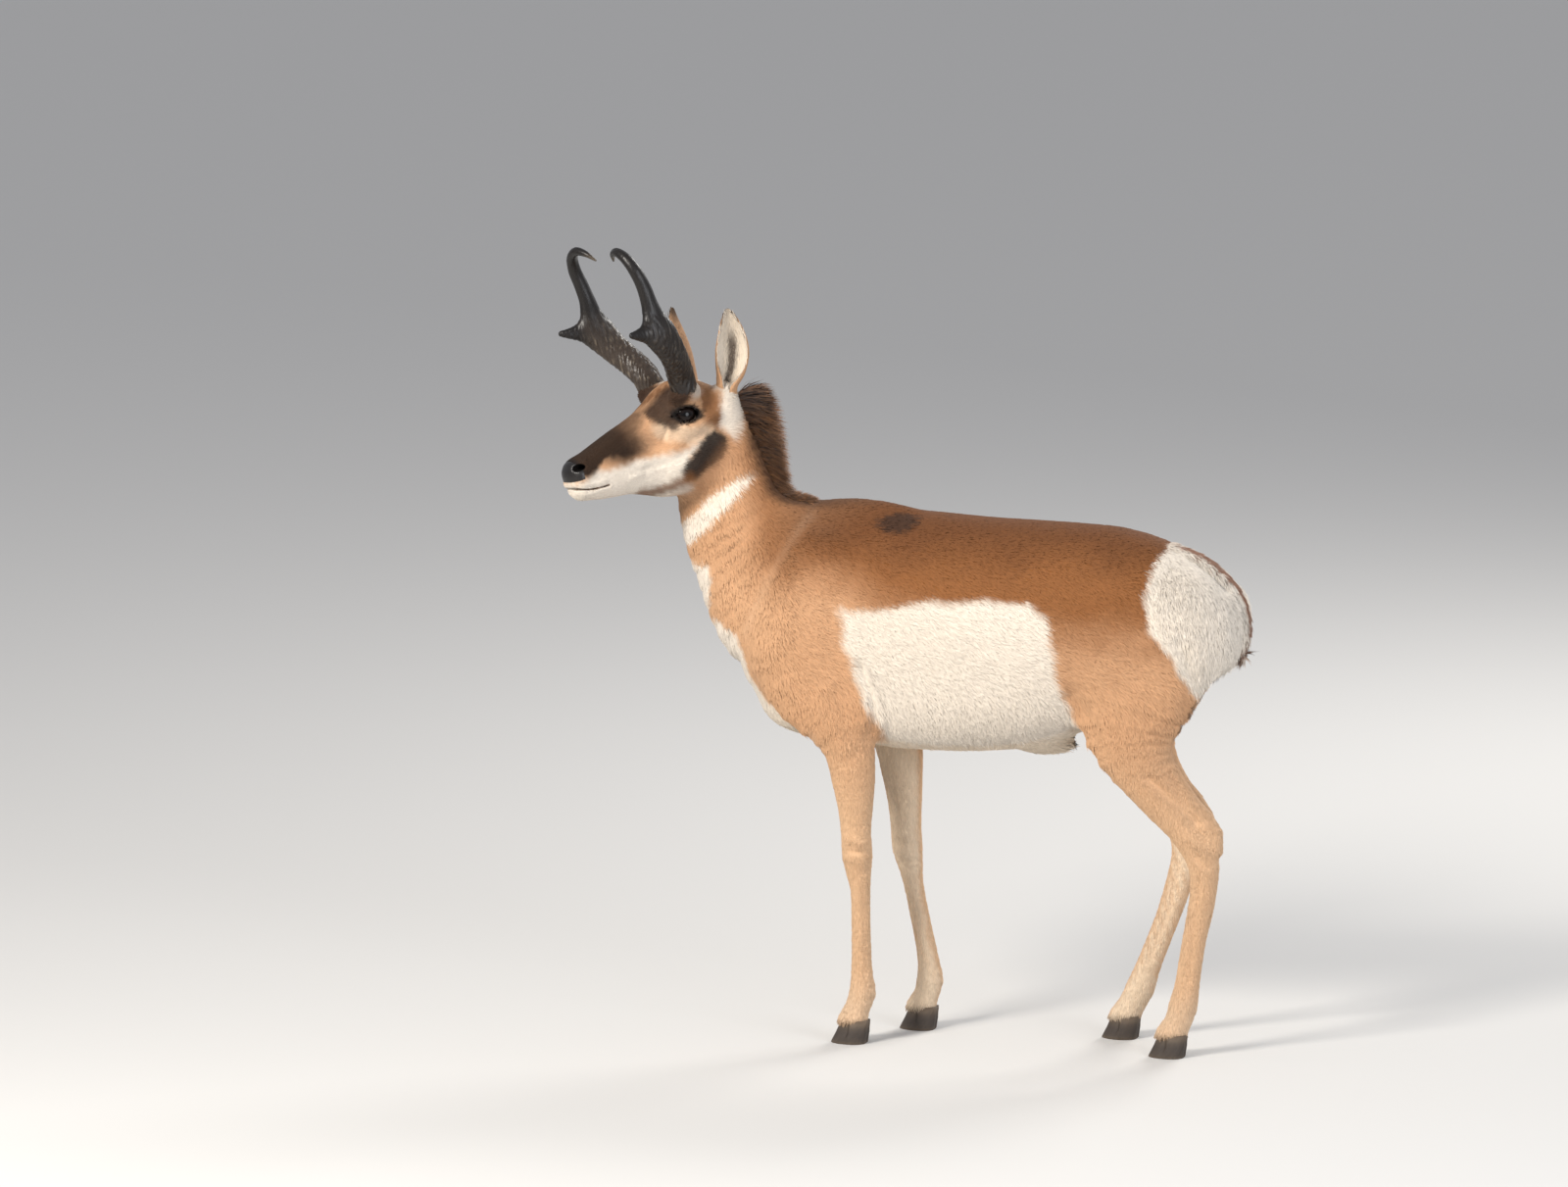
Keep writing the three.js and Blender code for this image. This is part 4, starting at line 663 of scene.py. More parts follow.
# The surface of a field as points and quads, worked out only in the blocks near it
def extract(field, low, high, cell):
    low = np.asarray(low, float)
    block = 8
    blocks = np.ceil((np.asarray(high) - low) / (cell * block)).astype(int)
    n = blocks * block
    centre = np.stack(np.meshgrid(*[np.arange(b) for b in blocks], indexing="ij"), -1).reshape(-1, 3)
    at = low + (centre + 0.5) * cell * block
    value = field(at)
    half = cell * block * math.sqrt(3) / 2
    close = np.abs(value) < half * 1.25 + 12
    grid = np.repeat(np.repeat(np.repeat(value.reshape(blocks), block, 0), block, 1), block, 2)
    local = np.stack(np.meshgrid(*[np.arange(block)] * 3, indexing="ij"), -1).reshape(-1, 3)
    cells = (centre[close][:, None] * block + local).reshape(-1, 3)
    grid[tuple(cells.T)] = field(low + cells * cell)
    sign = grid < 0
    m = n - 1
    total = np.zeros(m, np.int8)
    for i, j, k in CORNERS:
        total += sign[i:i + m[0], j:j + m[1], k:k + m[2]]
    mixed = np.argwhere((total > 0) & (total < 8))
    point_of = np.full(m, -1, np.int64)
    point_of[tuple(mixed.T)] = np.arange(len(mixed))
    held = np.stack([grid[tuple((mixed + o).T)] for o in CORNERS], 1)
    place = np.zeros((len(mixed), 3))
    count = np.zeros(len(mixed))
    for a in range(8):
        for b in range(a + 1, 8):
            if np.abs(CORNERS[a] - CORNERS[b]).sum() != 1:
                continue
            va, vb = held[:, a], held[:, b]
            cross = (va < 0) != (vb < 0)
            t = np.where(cross, va / np.where(cross, va - vb, 1), 0)
            place += np.where(cross[:, None], CORNERS[a] + t[:, None] * (CORNERS[b] - CORNERS[a]), 0)
            count += cross
    points = low + (mixed + place / count[:, None]) * cell
    quads = []
    for axis in range(3):
        u, v = (axis + 1) % 3, (axis + 2) % 3
        step = [0, 0, 0]
        step[axis] = 1
        here = sign[: n[0] - step[0], : n[1] - step[1], : n[2] - step[2]]
        there = sign[step[0]:, step[1]:, step[2]:]
        found = np.argwhere(here != there)
        found = found[(found[:, u] > 0) & (found[:, v] > 0) & (found < m).all(1)]
        ring = []
        for b, c in ((1, 1), (0, 1), (0, 0), (1, 0)):
            owner = found.copy()
            owner[:, u] -= b
            owner[:, v] -= c
            ring.append(point_of[tuple(owner.T)])
        ring = np.stack(ring, 1)
        flip = ~here[tuple(found.T)]
        ring[flip] = ring[flip][:, ::-1]
        quads.append(ring)
    return points, np.concatenate(quads)


def slope(field, p, step=0.6):
    g = np.empty_like(p)
    for axis in range(3):
        d = np.zeros(3)
        d[axis] = step
        g[:, axis] = (field(p + d) - field(p - d)) / (2 * step)
    return g


def skin_field(p):
    return body(p) + coat_depth(p)


def no_longer(v, most):
    return v * np.minimum(1, most / np.maximum(np.linalg.norm(v, axis=1, keepdims=True), 1e-6))


# Moves points towards the skin in steps of at most a length
def towards_skin(p, turns, most):
    for _ in range(turns):
        g = slope(skin_field, p)
        steep = np.maximum((g * g).sum(1), 0.15)
        p = p + no_longer(-g * (skin_field(p) / steep)[:, None], most)
    return p


def settle(p, turns, most):
    return p + no_longer(towards_skin(p, turns, most) - p, most * 1.5)


def mesh_from(name, points, faces):
    mesh = bpy.data.meshes.new(name)
    faces = np.asarray(faces)
    mesh.vertices.add(len(points))
    mesh.vertices.foreach_set("co", np.asarray((points + SHIFT) / 1000, np.float32).ravel())
    mesh.loops.add(faces.size)
    mesh.loops.foreach_set("vertex_index", faces.ravel().astype(np.int32))
    mesh.polygons.add(len(faces))
    mesh.polygons.foreach_set("loop_start", np.arange(0, faces.size, faces.shape[1], dtype=np.int32))
    mesh.polygons.foreach_set("use_smooth", np.full(len(faces), True))
    mesh.update(calc_edges=True)
    return mesh


def add(name, data):
    thing = bpy.data.objects.new(name, data)
    bpy.context.scene.collection.objects.link(thing)
    return thing


def link(mesh, material):
    thing = add(mesh.name, mesh)
    mesh.materials.append(material)
    return thing


def vectors(items, field):
    held = np.empty(len(items) * 3, np.float32)
    items.foreach_get(field, held)
    return held.reshape(-1, 3).astype(float)


def points_of(mesh):
    return vectors(mesh.vertices, "co") * 1000 - SHIFT


def face_middles(mesh):
    return vectors(mesh.polygons, "center") * 1000 - SHIFT


def put_points(mesh, p):
    mesh.vertices.foreach_set("co", np.asarray((p + SHIFT) / 1000, np.float32).ravel())
    mesh.update()


def set_colours(mesh, colours):
    attribute = mesh.color_attributes.new("coat", "FLOAT_COLOR", "POINT")
    rgba = np.concatenate([colours, np.ones((len(colours), 1))], 1)
    attribute.data.foreach_set("color", rgba.astype(np.float32).ravel())


def subdivide(mesh, chosen):
    bm = bmesh.new()
    bm.from_mesh(mesh)
    bm.faces.ensure_lookup_table()
    edges = {e for i in np.nonzero(chosen)[0] for e in bm.faces[i].edges}
    bmesh.ops.subdivide_edges(bm, edges=list(edges), cuts=1, use_grid_fill=True)
    bmesh.ops.triangulate(bm, faces=[f for f in bm.faces if len(f.verts) > 4])
    for f in bm.faces:
        f.smooth = True
    bm.to_mesh(mesh)
    bm.free()


def build_skin():
    points, quads = extract(skin_field, *SKIN_BOX, CELL)
    points = settle(points, 2, CELL * 0.6)
    mesh = mesh_from("skin", points, quads)
    middle = face_middles(mesh)
    subdivide(mesh, share_of_head(middle) > 0.25)
    middle = face_middles(mesh)
    q = to_head(middle)
    r, out = almond(q)[1:3]
    close = (share_of_head(middle) > 0.5) & (((r < EYE_RADIUS + 14) & (out > 0)) | (q[:, 0] > 168))
    subdivide(mesh, close)
    p = points_of(mesh)
    k = share_of_head(p) > 0.2
    p[k] = settle(p[k], 3, 2.0)
    n = unit(slope(skin_field, p))
    p = p + n * relief(p, n)[:, None]
    put_points(mesh, p)
    return mesh


# A ring of section points round each station of a line
def rings_along(line, side, section):
    rings = []
    for i, station in enumerate(line):
        before, after = line[max(i - 1, 0)][:3], line[min(i + 1, len(line) - 1)][:3]
        tangent = unit(after - before)
        lateral = unit(side - tangent * (tangent @ side))
        deep_way = np.cross(tangent, lateral)
        a, b = section(i / (len(line) - 1), station[3], station[4])
        rings.append(station[:3] + a[:, None] * deep_way + b[:, None] * lateral)
    return np.array(rings)


# Quads between rings, and a fan over each end as quads with a repeated corner
def skin_over(rings):
    count, around = rings.shape[:2]
    points = rings.reshape(-1, 3)
    k = np.arange(around)
    nxt = (k + 1) % around
    between = np.stack([k, nxt, around + nxt, around + k], 1)
    quads = np.concatenate([r * around + between for r in range(count - 1)])
    first, last, end = len(points), len(points) + 1, (count - 1) * around
    points = np.concatenate([points, rings[:1].mean(1), rings[-1:].mean(1)])
    low_cap = np.stack([np.full(around, first), nxt, k, k], 1)
    high_cap = np.stack([np.full(around, last), end + k, end + nxt, end + nxt], 1)
    return points, np.concatenate([quads, low_cap, high_cap])


# Quads with a repeated corner become triangles
def mesh_of_mixed(name, points, quads):
    mesh = bpy.data.meshes.new(name)
    faces = [tuple(dict.fromkeys(int(v) for v in f)) for f in quads]
    mesh.from_pydata(((points + SHIFT) / 1000).tolist(), [], faces)
    mesh.polygons.foreach_set("use_smooth", np.full(len(faces), True))
    mesh.update()
    bm = bmesh.new()
    bm.from_mesh(mesh)
    bmesh.ops.recalc_face_normals(bm, faces=bm.faces)
    bm.to_mesh(mesh)
    bm.free()
    return mesh


def head_line(stations, side, steps):
    s = np.array(stations, float)
    s[:, 1] *= side
    line = refine(s, steps)
    line[:, :3] = from_head(line[:, :3])
    return line


# An ear: a leaf rolled into a cup, with real thickness
def ear_line(side):
    stations = np.array(EAR, float)
    if side < 0:
        stations[:, 0] += RIGHT_EAR_FORWARD * np.sin(np.linspace(0, math.pi, len(stations)))
    return head_line(stations, side, 7)


def ear_mesh(side):
    line = ear_line(side)
    face = np.array([EAR_SIDE[0], side * EAR_SIDE[1], 0]) @ HEAD_AXES
    around = 15

    def section(share, deep, wide):
        lip = mix(1.25, 0.30, ease(0.1, 0.42, np.array(share)))
        turn = np.linspace(-math.pi - lip, lip, around)
        thick = 1.1 + 1.6 * (1 - share)
        inner_deep, inner_wide = max(deep - thick, deep * 0.4), max(wide - thick, wide * 0.3)
        a = np.concatenate([deep * np.cos(turn), inner_deep * np.cos(turn[::-1])])
        b = np.concatenate([wide * np.sin(turn), inner_wide * np.sin(turn[::-1])])
        return a * 0.97, b * 0.97

    rings = rings_along(line, face, section)
    points, quads = skin_over(rings)
    count = len(rings)
    inner = np.concatenate([np.tile(np.arange(2 * around) >= around, count), [False, False]])
    share = np.concatenate([np.repeat(np.linspace(0, 1, count), 2 * around), [0, 1]])
    return points, quads, inner, share


# A material of one colour, or with the colours held at the points, and with an optional fine grain
def principled(name, rough, spec, bump=None, colour=None, sheen=0.0, coat=0.0):
    m = bpy.data.materials.new(name)
    m.use_nodes = True
    nodes, links = m.node_tree.nodes, m.node_tree.links
    shader = nodes["Principled BSDF"]
    for field, value in (("Roughness", rough), ("Specular IOR Level", spec), ("Sheen Weight", sheen),
                         ("Sheen Roughness", 0.5), ("Coat Weight", coat), ("Coat Roughness", 0.05)):
        shader.inputs[field].default_value = value
    if colour:
        shader.inputs["Base Color"].default_value = (*colour, 1)
    else:
        read = nodes.new("ShaderNodeAttribute")
        read.attribute_name = "coat"
        links.new(read.outputs["Color"], shader.inputs["Base Color"])
    if bump:
        size, strength, distance = bump
        place = nodes.new("ShaderNodeTexCoord")
        noise = nodes.new("ShaderNodeTexNoise")
        noise.inputs["Scale"].default_value = size
        noise.inputs["Detail"].default_value = 4
        raised = nodes.new("ShaderNodeBump")
        raised.inputs["Strength"].default_value = strength
        raised.inputs["Distance"].default_value = distance
        links.new(place.outputs["Object"], noise.inputs["Vector"])
        links.new(noise.outputs["Fac"], raised.inputs["Height"])
        links.new(raised.outputs["Normal"], shader.inputs["Normal"])
    return m


skin_material = principled("skin_coat", 0.85, 0.15, (420, 0.35, 0.001))
hair_material = principled("hair", 0.72, 0.22, sheen=0.06)
horn_material = principled("horn", 0.38, 0.4, (420, 0.3, 0.0005))
hoof_material = principled("hoof", 0.66, 0.35, (300, 0.3, 0.0006))
eye_material = principled("eye", 0.02, 0.08, coat=0.3)
wet_material = principled("nose", 0.34, 0.5, (520, 0.6, 0.0008))

skin_mesh = build_skin()
skin_points = points_of(skin_mesh)


# The bare pad of the nose in the head's frame
def on_pad(q):
    border = q[:, 0] + ease(12, 26, np.abs(q[:, 1])) * 6 - ease(-30, -8, q[:, 2]) * -2
    return (border > 219) & (q[:, 2] > -38)


# Nothing grows in the eye opening, the nostril or the mouth line
def is_bare(p):
    q = to_head(p)
    off, r, out = almond(q)[:3]
    eye = (out > 0) & (r < EYE_RADIUS + 6.5) & (off < 1.6)
    mouth = (np.abs(q[:, 2] - MOUTH_U(q[:, 0])) < 1.6) & (q[:, 0] > 170)
    return eye | mouth | on_pad(q) | (on_both(nostril_field)(q) < 2.2)


def skin_colours(p):
    c = markings_and_jaw_shade(p) * 0.92
    q = to_head(p)
    head = share_of_head(p) > 0.5
    off, r, out = almond(q)[:3]
    lids = (out > 0) & (r < EYE_RADIUS + 7) & (off < 4)
    hole = on_both(nostril_field)(q) < 1.5
    slit = (np.abs(q[:, 2] - MOUTH_U(q[:, 0])) < 1.5) & (q[:, 0] > 171)
    for place, tint in ((lids, BLACK * 0.8), (hole, BLACK * 0.5), (on_pad(q), BLACK * 0.55),
                        (slit, mix(UMBER, TAN, 0.2))):
        c[head & place] = tint
    return c


set_colours(skin_mesh, skin_colours(skin_points))
skin = link(skin_mesh, skin_material)
skin_mesh.materials.append(wet_material)
nose_faces = on_pad(to_head(face_middles(skin_mesh)))
skin_mesh.polygons.foreach_set("material_index", nose_faces.astype(np.int32))

# Ears join the skin as part of the same piece
ear_objects = []
for side in (1, -1):
    points, quads, inner, share = ear_mesh(side)
    ear = mesh_of_mixed("ear", points, quads)
    back = mix(TAN * 0.9, BLACK, ease(0.62, 0.95, share)[:, None] * 0.9)
    colours = np.where(inner[:, None], mix(CREAM, GREYED, 0.25), back)
    set_colours(ear, colours)
    ear_objects.append(link(ear, skin_material))
bpy.ops.object.select_all(action="DESELECT")
for o in ear_objects + [skin]:
    o.select_set(True)
bpy.context.view_layer.objects.active = skin
bpy.ops.object.join()
skin.name = "skin"


# Roots spread at random over a surface, with their normals
def roots_on(points, faces, normals, density_of, seed):
    r = np.random.default_rng(seed)
    faces = np.asarray(faces)
    tris = np.concatenate([faces[:, [0, 1, 2]], faces[:, [0, 2, 3]]]) if faces.shape[1] == 4 else faces
    a, b, c = (points[tris[:, i]] for i in range(3))
    area = np.linalg.norm(np.cross(b - a, c - a), axis=1) / 2
    middle = (a + b + c) / 3
    want = area * density_of(middle) * DENSITY
    count = np.floor(want + r.random(len(want))).astype(int)
    which = np.repeat(np.arange(len(tris)), count)
    u, v = r.random(len(which)), r.random(len(which))
    flip = u + v > 1
    u[flip], v[flip] = 1 - u[flip], 1 - v[flip]
    w = 1 - u - v
    t = tris[which]
    p, n = (held[t[:, 0]] * w[:, None] + held[t[:, 1]] * u[:, None] + held[t[:, 2]] * v[:, None]
            for held in (points, normals))
    return p, unit(n)


# Each leg's stations, whether it is a hind leg, and its side
LEGS = ((FORE_LEFT, False, -1), (FORE_RIGHT, False, 1), (HIND_LEFT, True, -1), (HIND_RIGHT, True, 1))


def turn_of(a, b):
    return np.arctan2(a, b) / (2 * math.pi) + 0.5


# Place of a root on an unwrap of the body: a patch each for the trunk, the neck, the head and each leg
def unwrap(p):
    x, y, z = p.T
    uv = np.empty((len(p), 2))

    def put(chosen, u_low, u_high, u, v_low, v_high, v):
        place = np.stack([mix(u_low, u_high, u), mix(v_low, v_high, v)], 1)
        uv[chosen] = place[chosen]

    put(slice(None), 0.01, 0.65, np.clip((x + 330) / 880, 0, 1), 0.45, 0.99, turn_of(y, z - 690))
    rise = np.clip((z - 690 - x * 0.3 - 60) / 420, 0, 1)
    put(share_of_neck(p) > 0.5, 0.67, 0.99, turn_of(y, -(x + 330)), 0.70, 0.99, rise)
    q = to_head(p)
    ahead = np.clip((q[:, 0] + 110) / 350, 0, 1)
    put(share_of_head(p) > 0.5, 0.67, 0.99, turn_of(q[:, 1], q[:, 2] + 40), 0.40, 0.68, ahead)
    leg = (z < 520) & ~((x > -20) & (x < 250))
    for n, (stations, hind, side) in enumerate(LEGS):
        s = np.array(stations)
        axis = np.interp(z, s[::-1, 2], s[::-1, 0])
        k = leg & ((x > 150) == hind) & (y * side > 0)
        turn = turn_of(y - side * 76, x - axis)
        put(k, 0.01 + n * 0.16, 0.15 + n * 0.16, turn, 0.01, 0.43, np.clip(z / 520, 0, 1))
    return uv


coat_pieces = []
MOST_TRIANGLES = 190000
UV_SPREAD = 0.0015


# Writes many hairs of one shape as pieces of under 200,000 triangles, each piece with its unwrap
def write_hairs(name, p, verts, faces, normals, colours, spread):
    uvs = unwrap(p)[:, None] + np.asarray(spread) * UV_SPREAD
    faces = np.asarray(faces)
    step = MOST_TRIANGLES // len(faces)
    for part, start in enumerate(range(0, len(p), step)):
        k = slice(start, start + step)
        f = faces[None] + verts.shape[1] * np.arange(len(p[k]))[:, None, None]
        f = f.reshape(-1, 3)
        mesh = mesh_from(f"{name}_{part}", verts[k].reshape(-1, 3), f)
        set_colours(mesh, np.clip(colours[k], 0, 1).reshape(-1, 3))
        layer = mesh.uv_layers.new(name="OFBake")
        uv = uvs[k].reshape(-1, 2)[f.ravel()]
        layer.data.foreach_set("uv", uv.astype(np.float32).ravel())
        mesh.normals_split_custom_set_from_vertices(normals[k].reshape(-1, 3).astype(np.float32).tolist())
        coat_pieces.append(link(mesh, hair_material))


# Short hair: a closed tuft of four triangles
def tufts(name, p, n, t, length, width, lift, sink, colours, tip_tint=1.06, root_tint=0.84):
    side = np.cross(n, t)
    r = np.random.default_rng(len(p))
    L, W = length[:, None], width[:, None]
    base = p - n * sink
    rise = lift[:, None]
    v0 = base - side * W / 2
    v1 = base + side * W / 2
    v2 = p + t * L * 0.45 + n * (rise * 0.75 + W * 0.10)
    v3 = p + t * L + n * rise * 0.8 + side * W * r.uniform(-0.3, 0.3, (len(p), 1))
    verts = np.stack([v0, v1, v2, v3], 1)
    tone = r.uniform(0.91, 1.09, (len(p), 1))
    root = colours * root_tint * tone
    c = np.stack([root, root, colours * tone, colours * tip_tint * tone], 1)
    flat = unit(n * 0.75 - t * 0.12)
    normals = np.stack([unit(flat - side * 0.35), unit(flat + side * 0.35), flat, flat], 1)
    faces = [(0, 3, 2), (1, 2, 3), (0, 2, 1), (0, 1, 3)]
    write_hairs(name, p, verts, faces, normals, c, [(-1, -1), (1, -1), (0, 0), (0, 1)])


# Longer hair: a closed three-sided blade that bends along its length
def strands(name, p, n, way, bend, length, width, colours, tips=None, rings=3, sink=3.0):
    side = unit(np.cross(n, way))
    L = length[:, None]
    shares = np.linspace(0, 1, rings + 1)
    tint = colours if tips is None else tips
    verts, cols, nors = [], [], []
    tone = np.random.default_rng(len(p) + rings).uniform(0.85, 1.15, (len(p), 1))
    for i, share in enumerate(shares):
        centre = p - way * sink + way * (L + sink) * share + bend * L * share * share
        tangent = unit(way * (L + sink) + 2 * bend * L * share)
        out = unit(np.cross(tangent, side))
        out = out * np.sign((out * n).sum(1, keepdims=True) + 1e-9)
        taper = (1.0, 1.0, 0.8, 0.5, 0.3)[i] if share < 1 else 0.0
        w = width[:, None] / 2 * taper
        c = mix(colours * 0.8, tint, share) * tone
        if share < 1:
            verts += [centre - side * w, centre + side * w, centre + out * w * 0.45]
            cols += [c, c, c]
            nors += [unit(n * 0.6 + side * across + out * 0.3) for across in (-0.5, 0.5)]
            nors.append(unit(n * 0.5 + out))
        else:
            verts.append(centre)
            cols.append(c)
            nors.append(unit(n * 0.6 + out * 0.5))
    verts, cols, nors = (np.stack(a, 1) for a in (verts, cols, nors))
    faces = [(0, 2, 1)]
    for i in range(rings - 1):
        a, b = 3 * i, 3 * i + 3
        for j, k in ((0, 1), (1, 2), (2, 0)):
            faces += [(a + j, a + k, b + k), (a + j, b + k, b + j)]
    a, tip = 3 * (rings - 1), 3 * rings
    faces += [(a + j, a + k, tip) for j, k in ((0, 1), (1, 2), (2, 0))]
    per = verts.shape[1]
    spread = np.stack([np.tile([-1, 1, 0], rings + 1)[:per], np.linspace(-1, 1, per)], 1)
    write_hairs(name, p, verts, faces, nors, cols, spread)


def triangles_of(mesh):
    mesh.calc_loop_triangles()
    tri = np.empty(len(mesh.loop_triangles) * 3, np.int32)
    mesh.loop_triangles.foreach_get("vertices", tri)
    return tri.reshape(-1, 3)


all_points, all_tris = points_of(skin.data), triangles_of(skin.data)
all_normals = unit(vectors(skin.data.vertices, "normal"))
on_ear = (all_tris >= len(skin_points)).any(1)
body_tris, ear_tris = all_tris[~on_ear], all_tris[on_ear]


# Short coat over the whole body
def coat_density(p):
    return by_region(COAT_DENSITY, p, 60)


roots, root_normals = roots_on(all_points, body_tris, all_normals, coat_density, 21)
keep = ~is_bare(roots) & (roots[:, 2] > HOOF_TOP + 1)
roots, root_normals = roots[keep], root_normals[keep]
ways = lie_of(roots, root_normals)
length = by_region(COAT_LENGTH, roots, 40) * rng.uniform(0.8, 1.2, len(roots))
width = by_region(COAT_WIDTH, roots, 40)
lift = coat_depth(roots) * rng.uniform(0.55, 1.0, len(length))
twist = rng.normal(0, 0.16, (len(roots), 1))
ways = unit(ways + np.cross(root_normals, ways) * twist)
tufts("coat", roots, root_normals, ways, length, width, lift, 1.0, markings_and_jaw_shade(roots + ways * 2.0))


# Longer hair of the rump, belly, chest and tail, within a box
def long_hair(name, box, density, size, wide, bend, seed, chosen=lambda m: 1.0):
    def dense(m):
        return density * ((m > box[:3]) & (m < box[3:])).all(1) * chosen(m)

    p, n = roots_on(all_points, body_tris, all_normals, dense, seed)
    t = lie_of(p, n)
    t = unit(t + np.cross(n, t) * rng.normal(0, 0.18, (len(p), 1)))
    way = unit(t + n * rng.uniform(0.06, 0.16, (len(p), 1)))
    lean = t * 0.05 - n * rng.uniform(0.03, 0.09, (len(p), 1)) + np.array(bend)
    length = size * rng.uniform(0.7, 1.15, len(p))
    tint = markings_and_jaw_shade(p)
    strands(name, p, n, way, lean, length, np.full(len(p), wide), tint, tint * 1.06)


def in_rump(m):
    return edge(outside(m[:, 0], m[:, 2], RUMP) + 4, 6)


long_hair("rump_hair", (380, -140, 580, 570, 140, 860), 0.075, 30.0, 1.8, (0.0, 0, -0.05), 31, in_rump)
long_hair("belly_hair", (-230, -140, 470, 330, 140, 560), 0.03, 20.0, 1.8, (0.03, 0, -0.02), 32)
long_hair("chest_hair", (-420, -90, 500, -180, 90, 780), 0.03, 19.0, 1.8, (0.0, 0, -0.04), 33)


def over_tail(m):
    return (np.abs(m[:, 1]) < 22) * (near_line(m[:, [0, 2]], TAIL_HAIR_LINE) < 16)


long_hair("tail_hair", (395, -26, 640, 580, 26, 870), 0.12, 30.0, 2.2, (0.0, 0, -0.10), 34, over_tail)


# Mane along the nape
def mane():
    count = int(MANE_HAIRS * max(DENSITY, 0.5))
    share = rng.random(count) ** 0.85
    off = rng.normal(0, 7.5, count) * mix(1.0, 0.75, share)
    guess = MANE_TOP + (MANE_END - MANE_TOP) * share[:, None]
    guess[:, 1] += off
    p = towards_skin(guess, 6, 30)
    ok = np.abs(skin_field(p)) < 1
    p, share, off = p[ok], share[ok], off[ok]
    n = unit(slope(skin_field, p))
    down = unit(MANE_END - MANE_TOP)
    way = n + down * mix(-0.1, 0.75, share)[:, None] + rng.normal(0, 0.17, p.shape)
    way = unit(way + np.array([0, 1, 0]) * off[:, None] * 0.014)
    size = mix(58, 19, share ** 1.3) * rng.uniform(0.66, 1.08, len(p))
    dark = ease(0.0, 0.5, rng.random(len(p)) + 0.12 * np.abs(off) / 8)[:, None]
    root = mix(UMBER * 0.5, mix(RUSSET, UMBER, 0.2), dark * 0.8)
    tip = mix(mix(RUSSET, TAN, 0.22), BLACK, (rng.random(len(p))[:, None] < 0.28) * 0.85)
    strands("mane_hair", p, n, way, down * 0.42 + rng.normal(0, 0.03, p.shape), size,
            rng.uniform(1.2, 2.2, len(p)), root, tip, rings=3, sink=4)


mane()


# Hair of the ears: short outside, longer and pale inside with a dark streak
def ear_hair():
    p, nn = roots_on(all_points, ear_tris, all_normals, lambda m: EAR_DENSITY, 41)
    left_or_right = np.sign(to_head(p)[:, 1])
    up_way = np.empty_like(p)
    share, open_side, middle = np.empty((3, len(p)))
    for s in (1, -1):
        k = np.nonzero(left_or_right == s)[0]
        line = ear_line(s)
        d = ((p[k][:, None] - line[None, :, :3]) ** 2).sum(2)
        i = np.clip(d.argmin(1), 1, len(line) - 2)
        up_way[k] = unit(line[i + 1, :3] - line[i - 1, :3])
        share[k] = i / (len(line) - 1)
        face = np.array([EAR_SIDE[0], s * EAR_SIDE[1], 0]) @ HEAD_AXES
        inward = line[i, :3] - p[k]
        open_side[k] = (nn[k] * inward).sum(1)
        across = np.cross(up_way[k], face)
        middle[k] = np.abs((inward * across).sum(1)) / line[i, 3]
    inside = open_side > 0
    t = unit(up_way - nn * (up_way * nn).sum(1, keepdims=True))
    outer = mix(TAN * 0.92, BLACK, ease(0.66, 0.92, share)[:, None] * 0.85)
    inner = mix(WHITE, CREAM, 0.4)
    streak = ease(0.42, 0.12, middle + rng.normal(0, 0.07, len(p)))
    streak = streak * ease(0.08, 0.2, share) * ease(0.72, 0.5, share)
    inner = mix(inner[None], UMBER[None], (streak * 0.85)[:, None])
    c = np.where(inside[:, None], inner, outer)
    size = np.where(inside, 13.0, 7.0) * rng.uniform(0.7, 1.2, len(p))
    keep = share < 0.97
    size *= np.clip((1.04 - share) / 0.18, 0.25, 1)
    lift = np.where(inside, 3.0, 0.9)[keep]
    tufts("ear_coat", p[keep], nn[keep], t[keep], size[keep], np.full(keep.sum(), 1.5), lift,
          0.4, c[keep], tip_tint=1.05, root_tint=0.85)


ear_hair()


# Lashes of the upper lid
def lashes():
    for side in (1, -1):
        turn = np.linspace(0.12, math.pi - 0.2, LASHES)
        a = EYE_WIDE * 1.02 * np.cos(turn)
        b = EYE_HIGH * 1.02 * np.sin(turn)
        rest = np.sqrt(np.maximum((EYE_RADIUS + 3.4) ** 2 - a * a - b * b, 4))
        q = EYE_AT + a[:, None] * eye_front + b[:, None] * eye_up + rest[:, None] * eye_out
        way = unit(eye_out * 1.0 + eye_up * 0.25 + (a / EYE_WIDE)[:, None] * eye_front * 0.5)
        n = unit(eye_up + eye_out * 0.2) + np.zeros((LASHES, 3))
        flip = np.array([1, side, 1])
        name = "lashes_left" if side > 0 else "lashes_right"
        strands(name, from_head(q * flip), unit((n * flip) @ HEAD_AXES),
                unit((way * flip) @ HEAD_AXES), np.tile(-UP * 0.25, (LASHES, 1)), np.full(LASHES, 7.5),
                np.full(LASHES, 0.9), np.tile(BLACK * 0.6, (LASHES, 1)), rings=2, sink=1.5)


lashes()


# Horns: rough and streaked low down, smooth at the tips, with the prong growing out of the beam
beam_field = limb(HORN, (0, 1, 0), 4)
prong_field = limb(PRONG, (0, 1, 0), 4)


def horn_field(q):
    return blended(beam_field(q), prong_field(q), 16)


def horn_shape():
    points, quads = extract(horn_field, *HORN_BOX, HORN_CELL)
    for _ in range(3):
        g = slope(horn_field, points, 0.3)
        points = points - g * (horn_field(points) / np.maximum((g * g).sum(1), 0.2))[:, None]
    n = unit(slope(horn_field, points, 0.3))
    rough = ease(250, 90, points[:, 2])
    streaks = waves(8, 5, 12)(points * np.array([1, 1, 0.13]))
    knobs = waves(9, 8, 12)(points * np.array([1, 1, 0.45]))
    height = rough * (streaks * 0.5 + np.maximum(knobs - 0.6, 0) * 0.8) + streaks * 0.1
    return points + n * height[:, None], quads, streaks, knobs


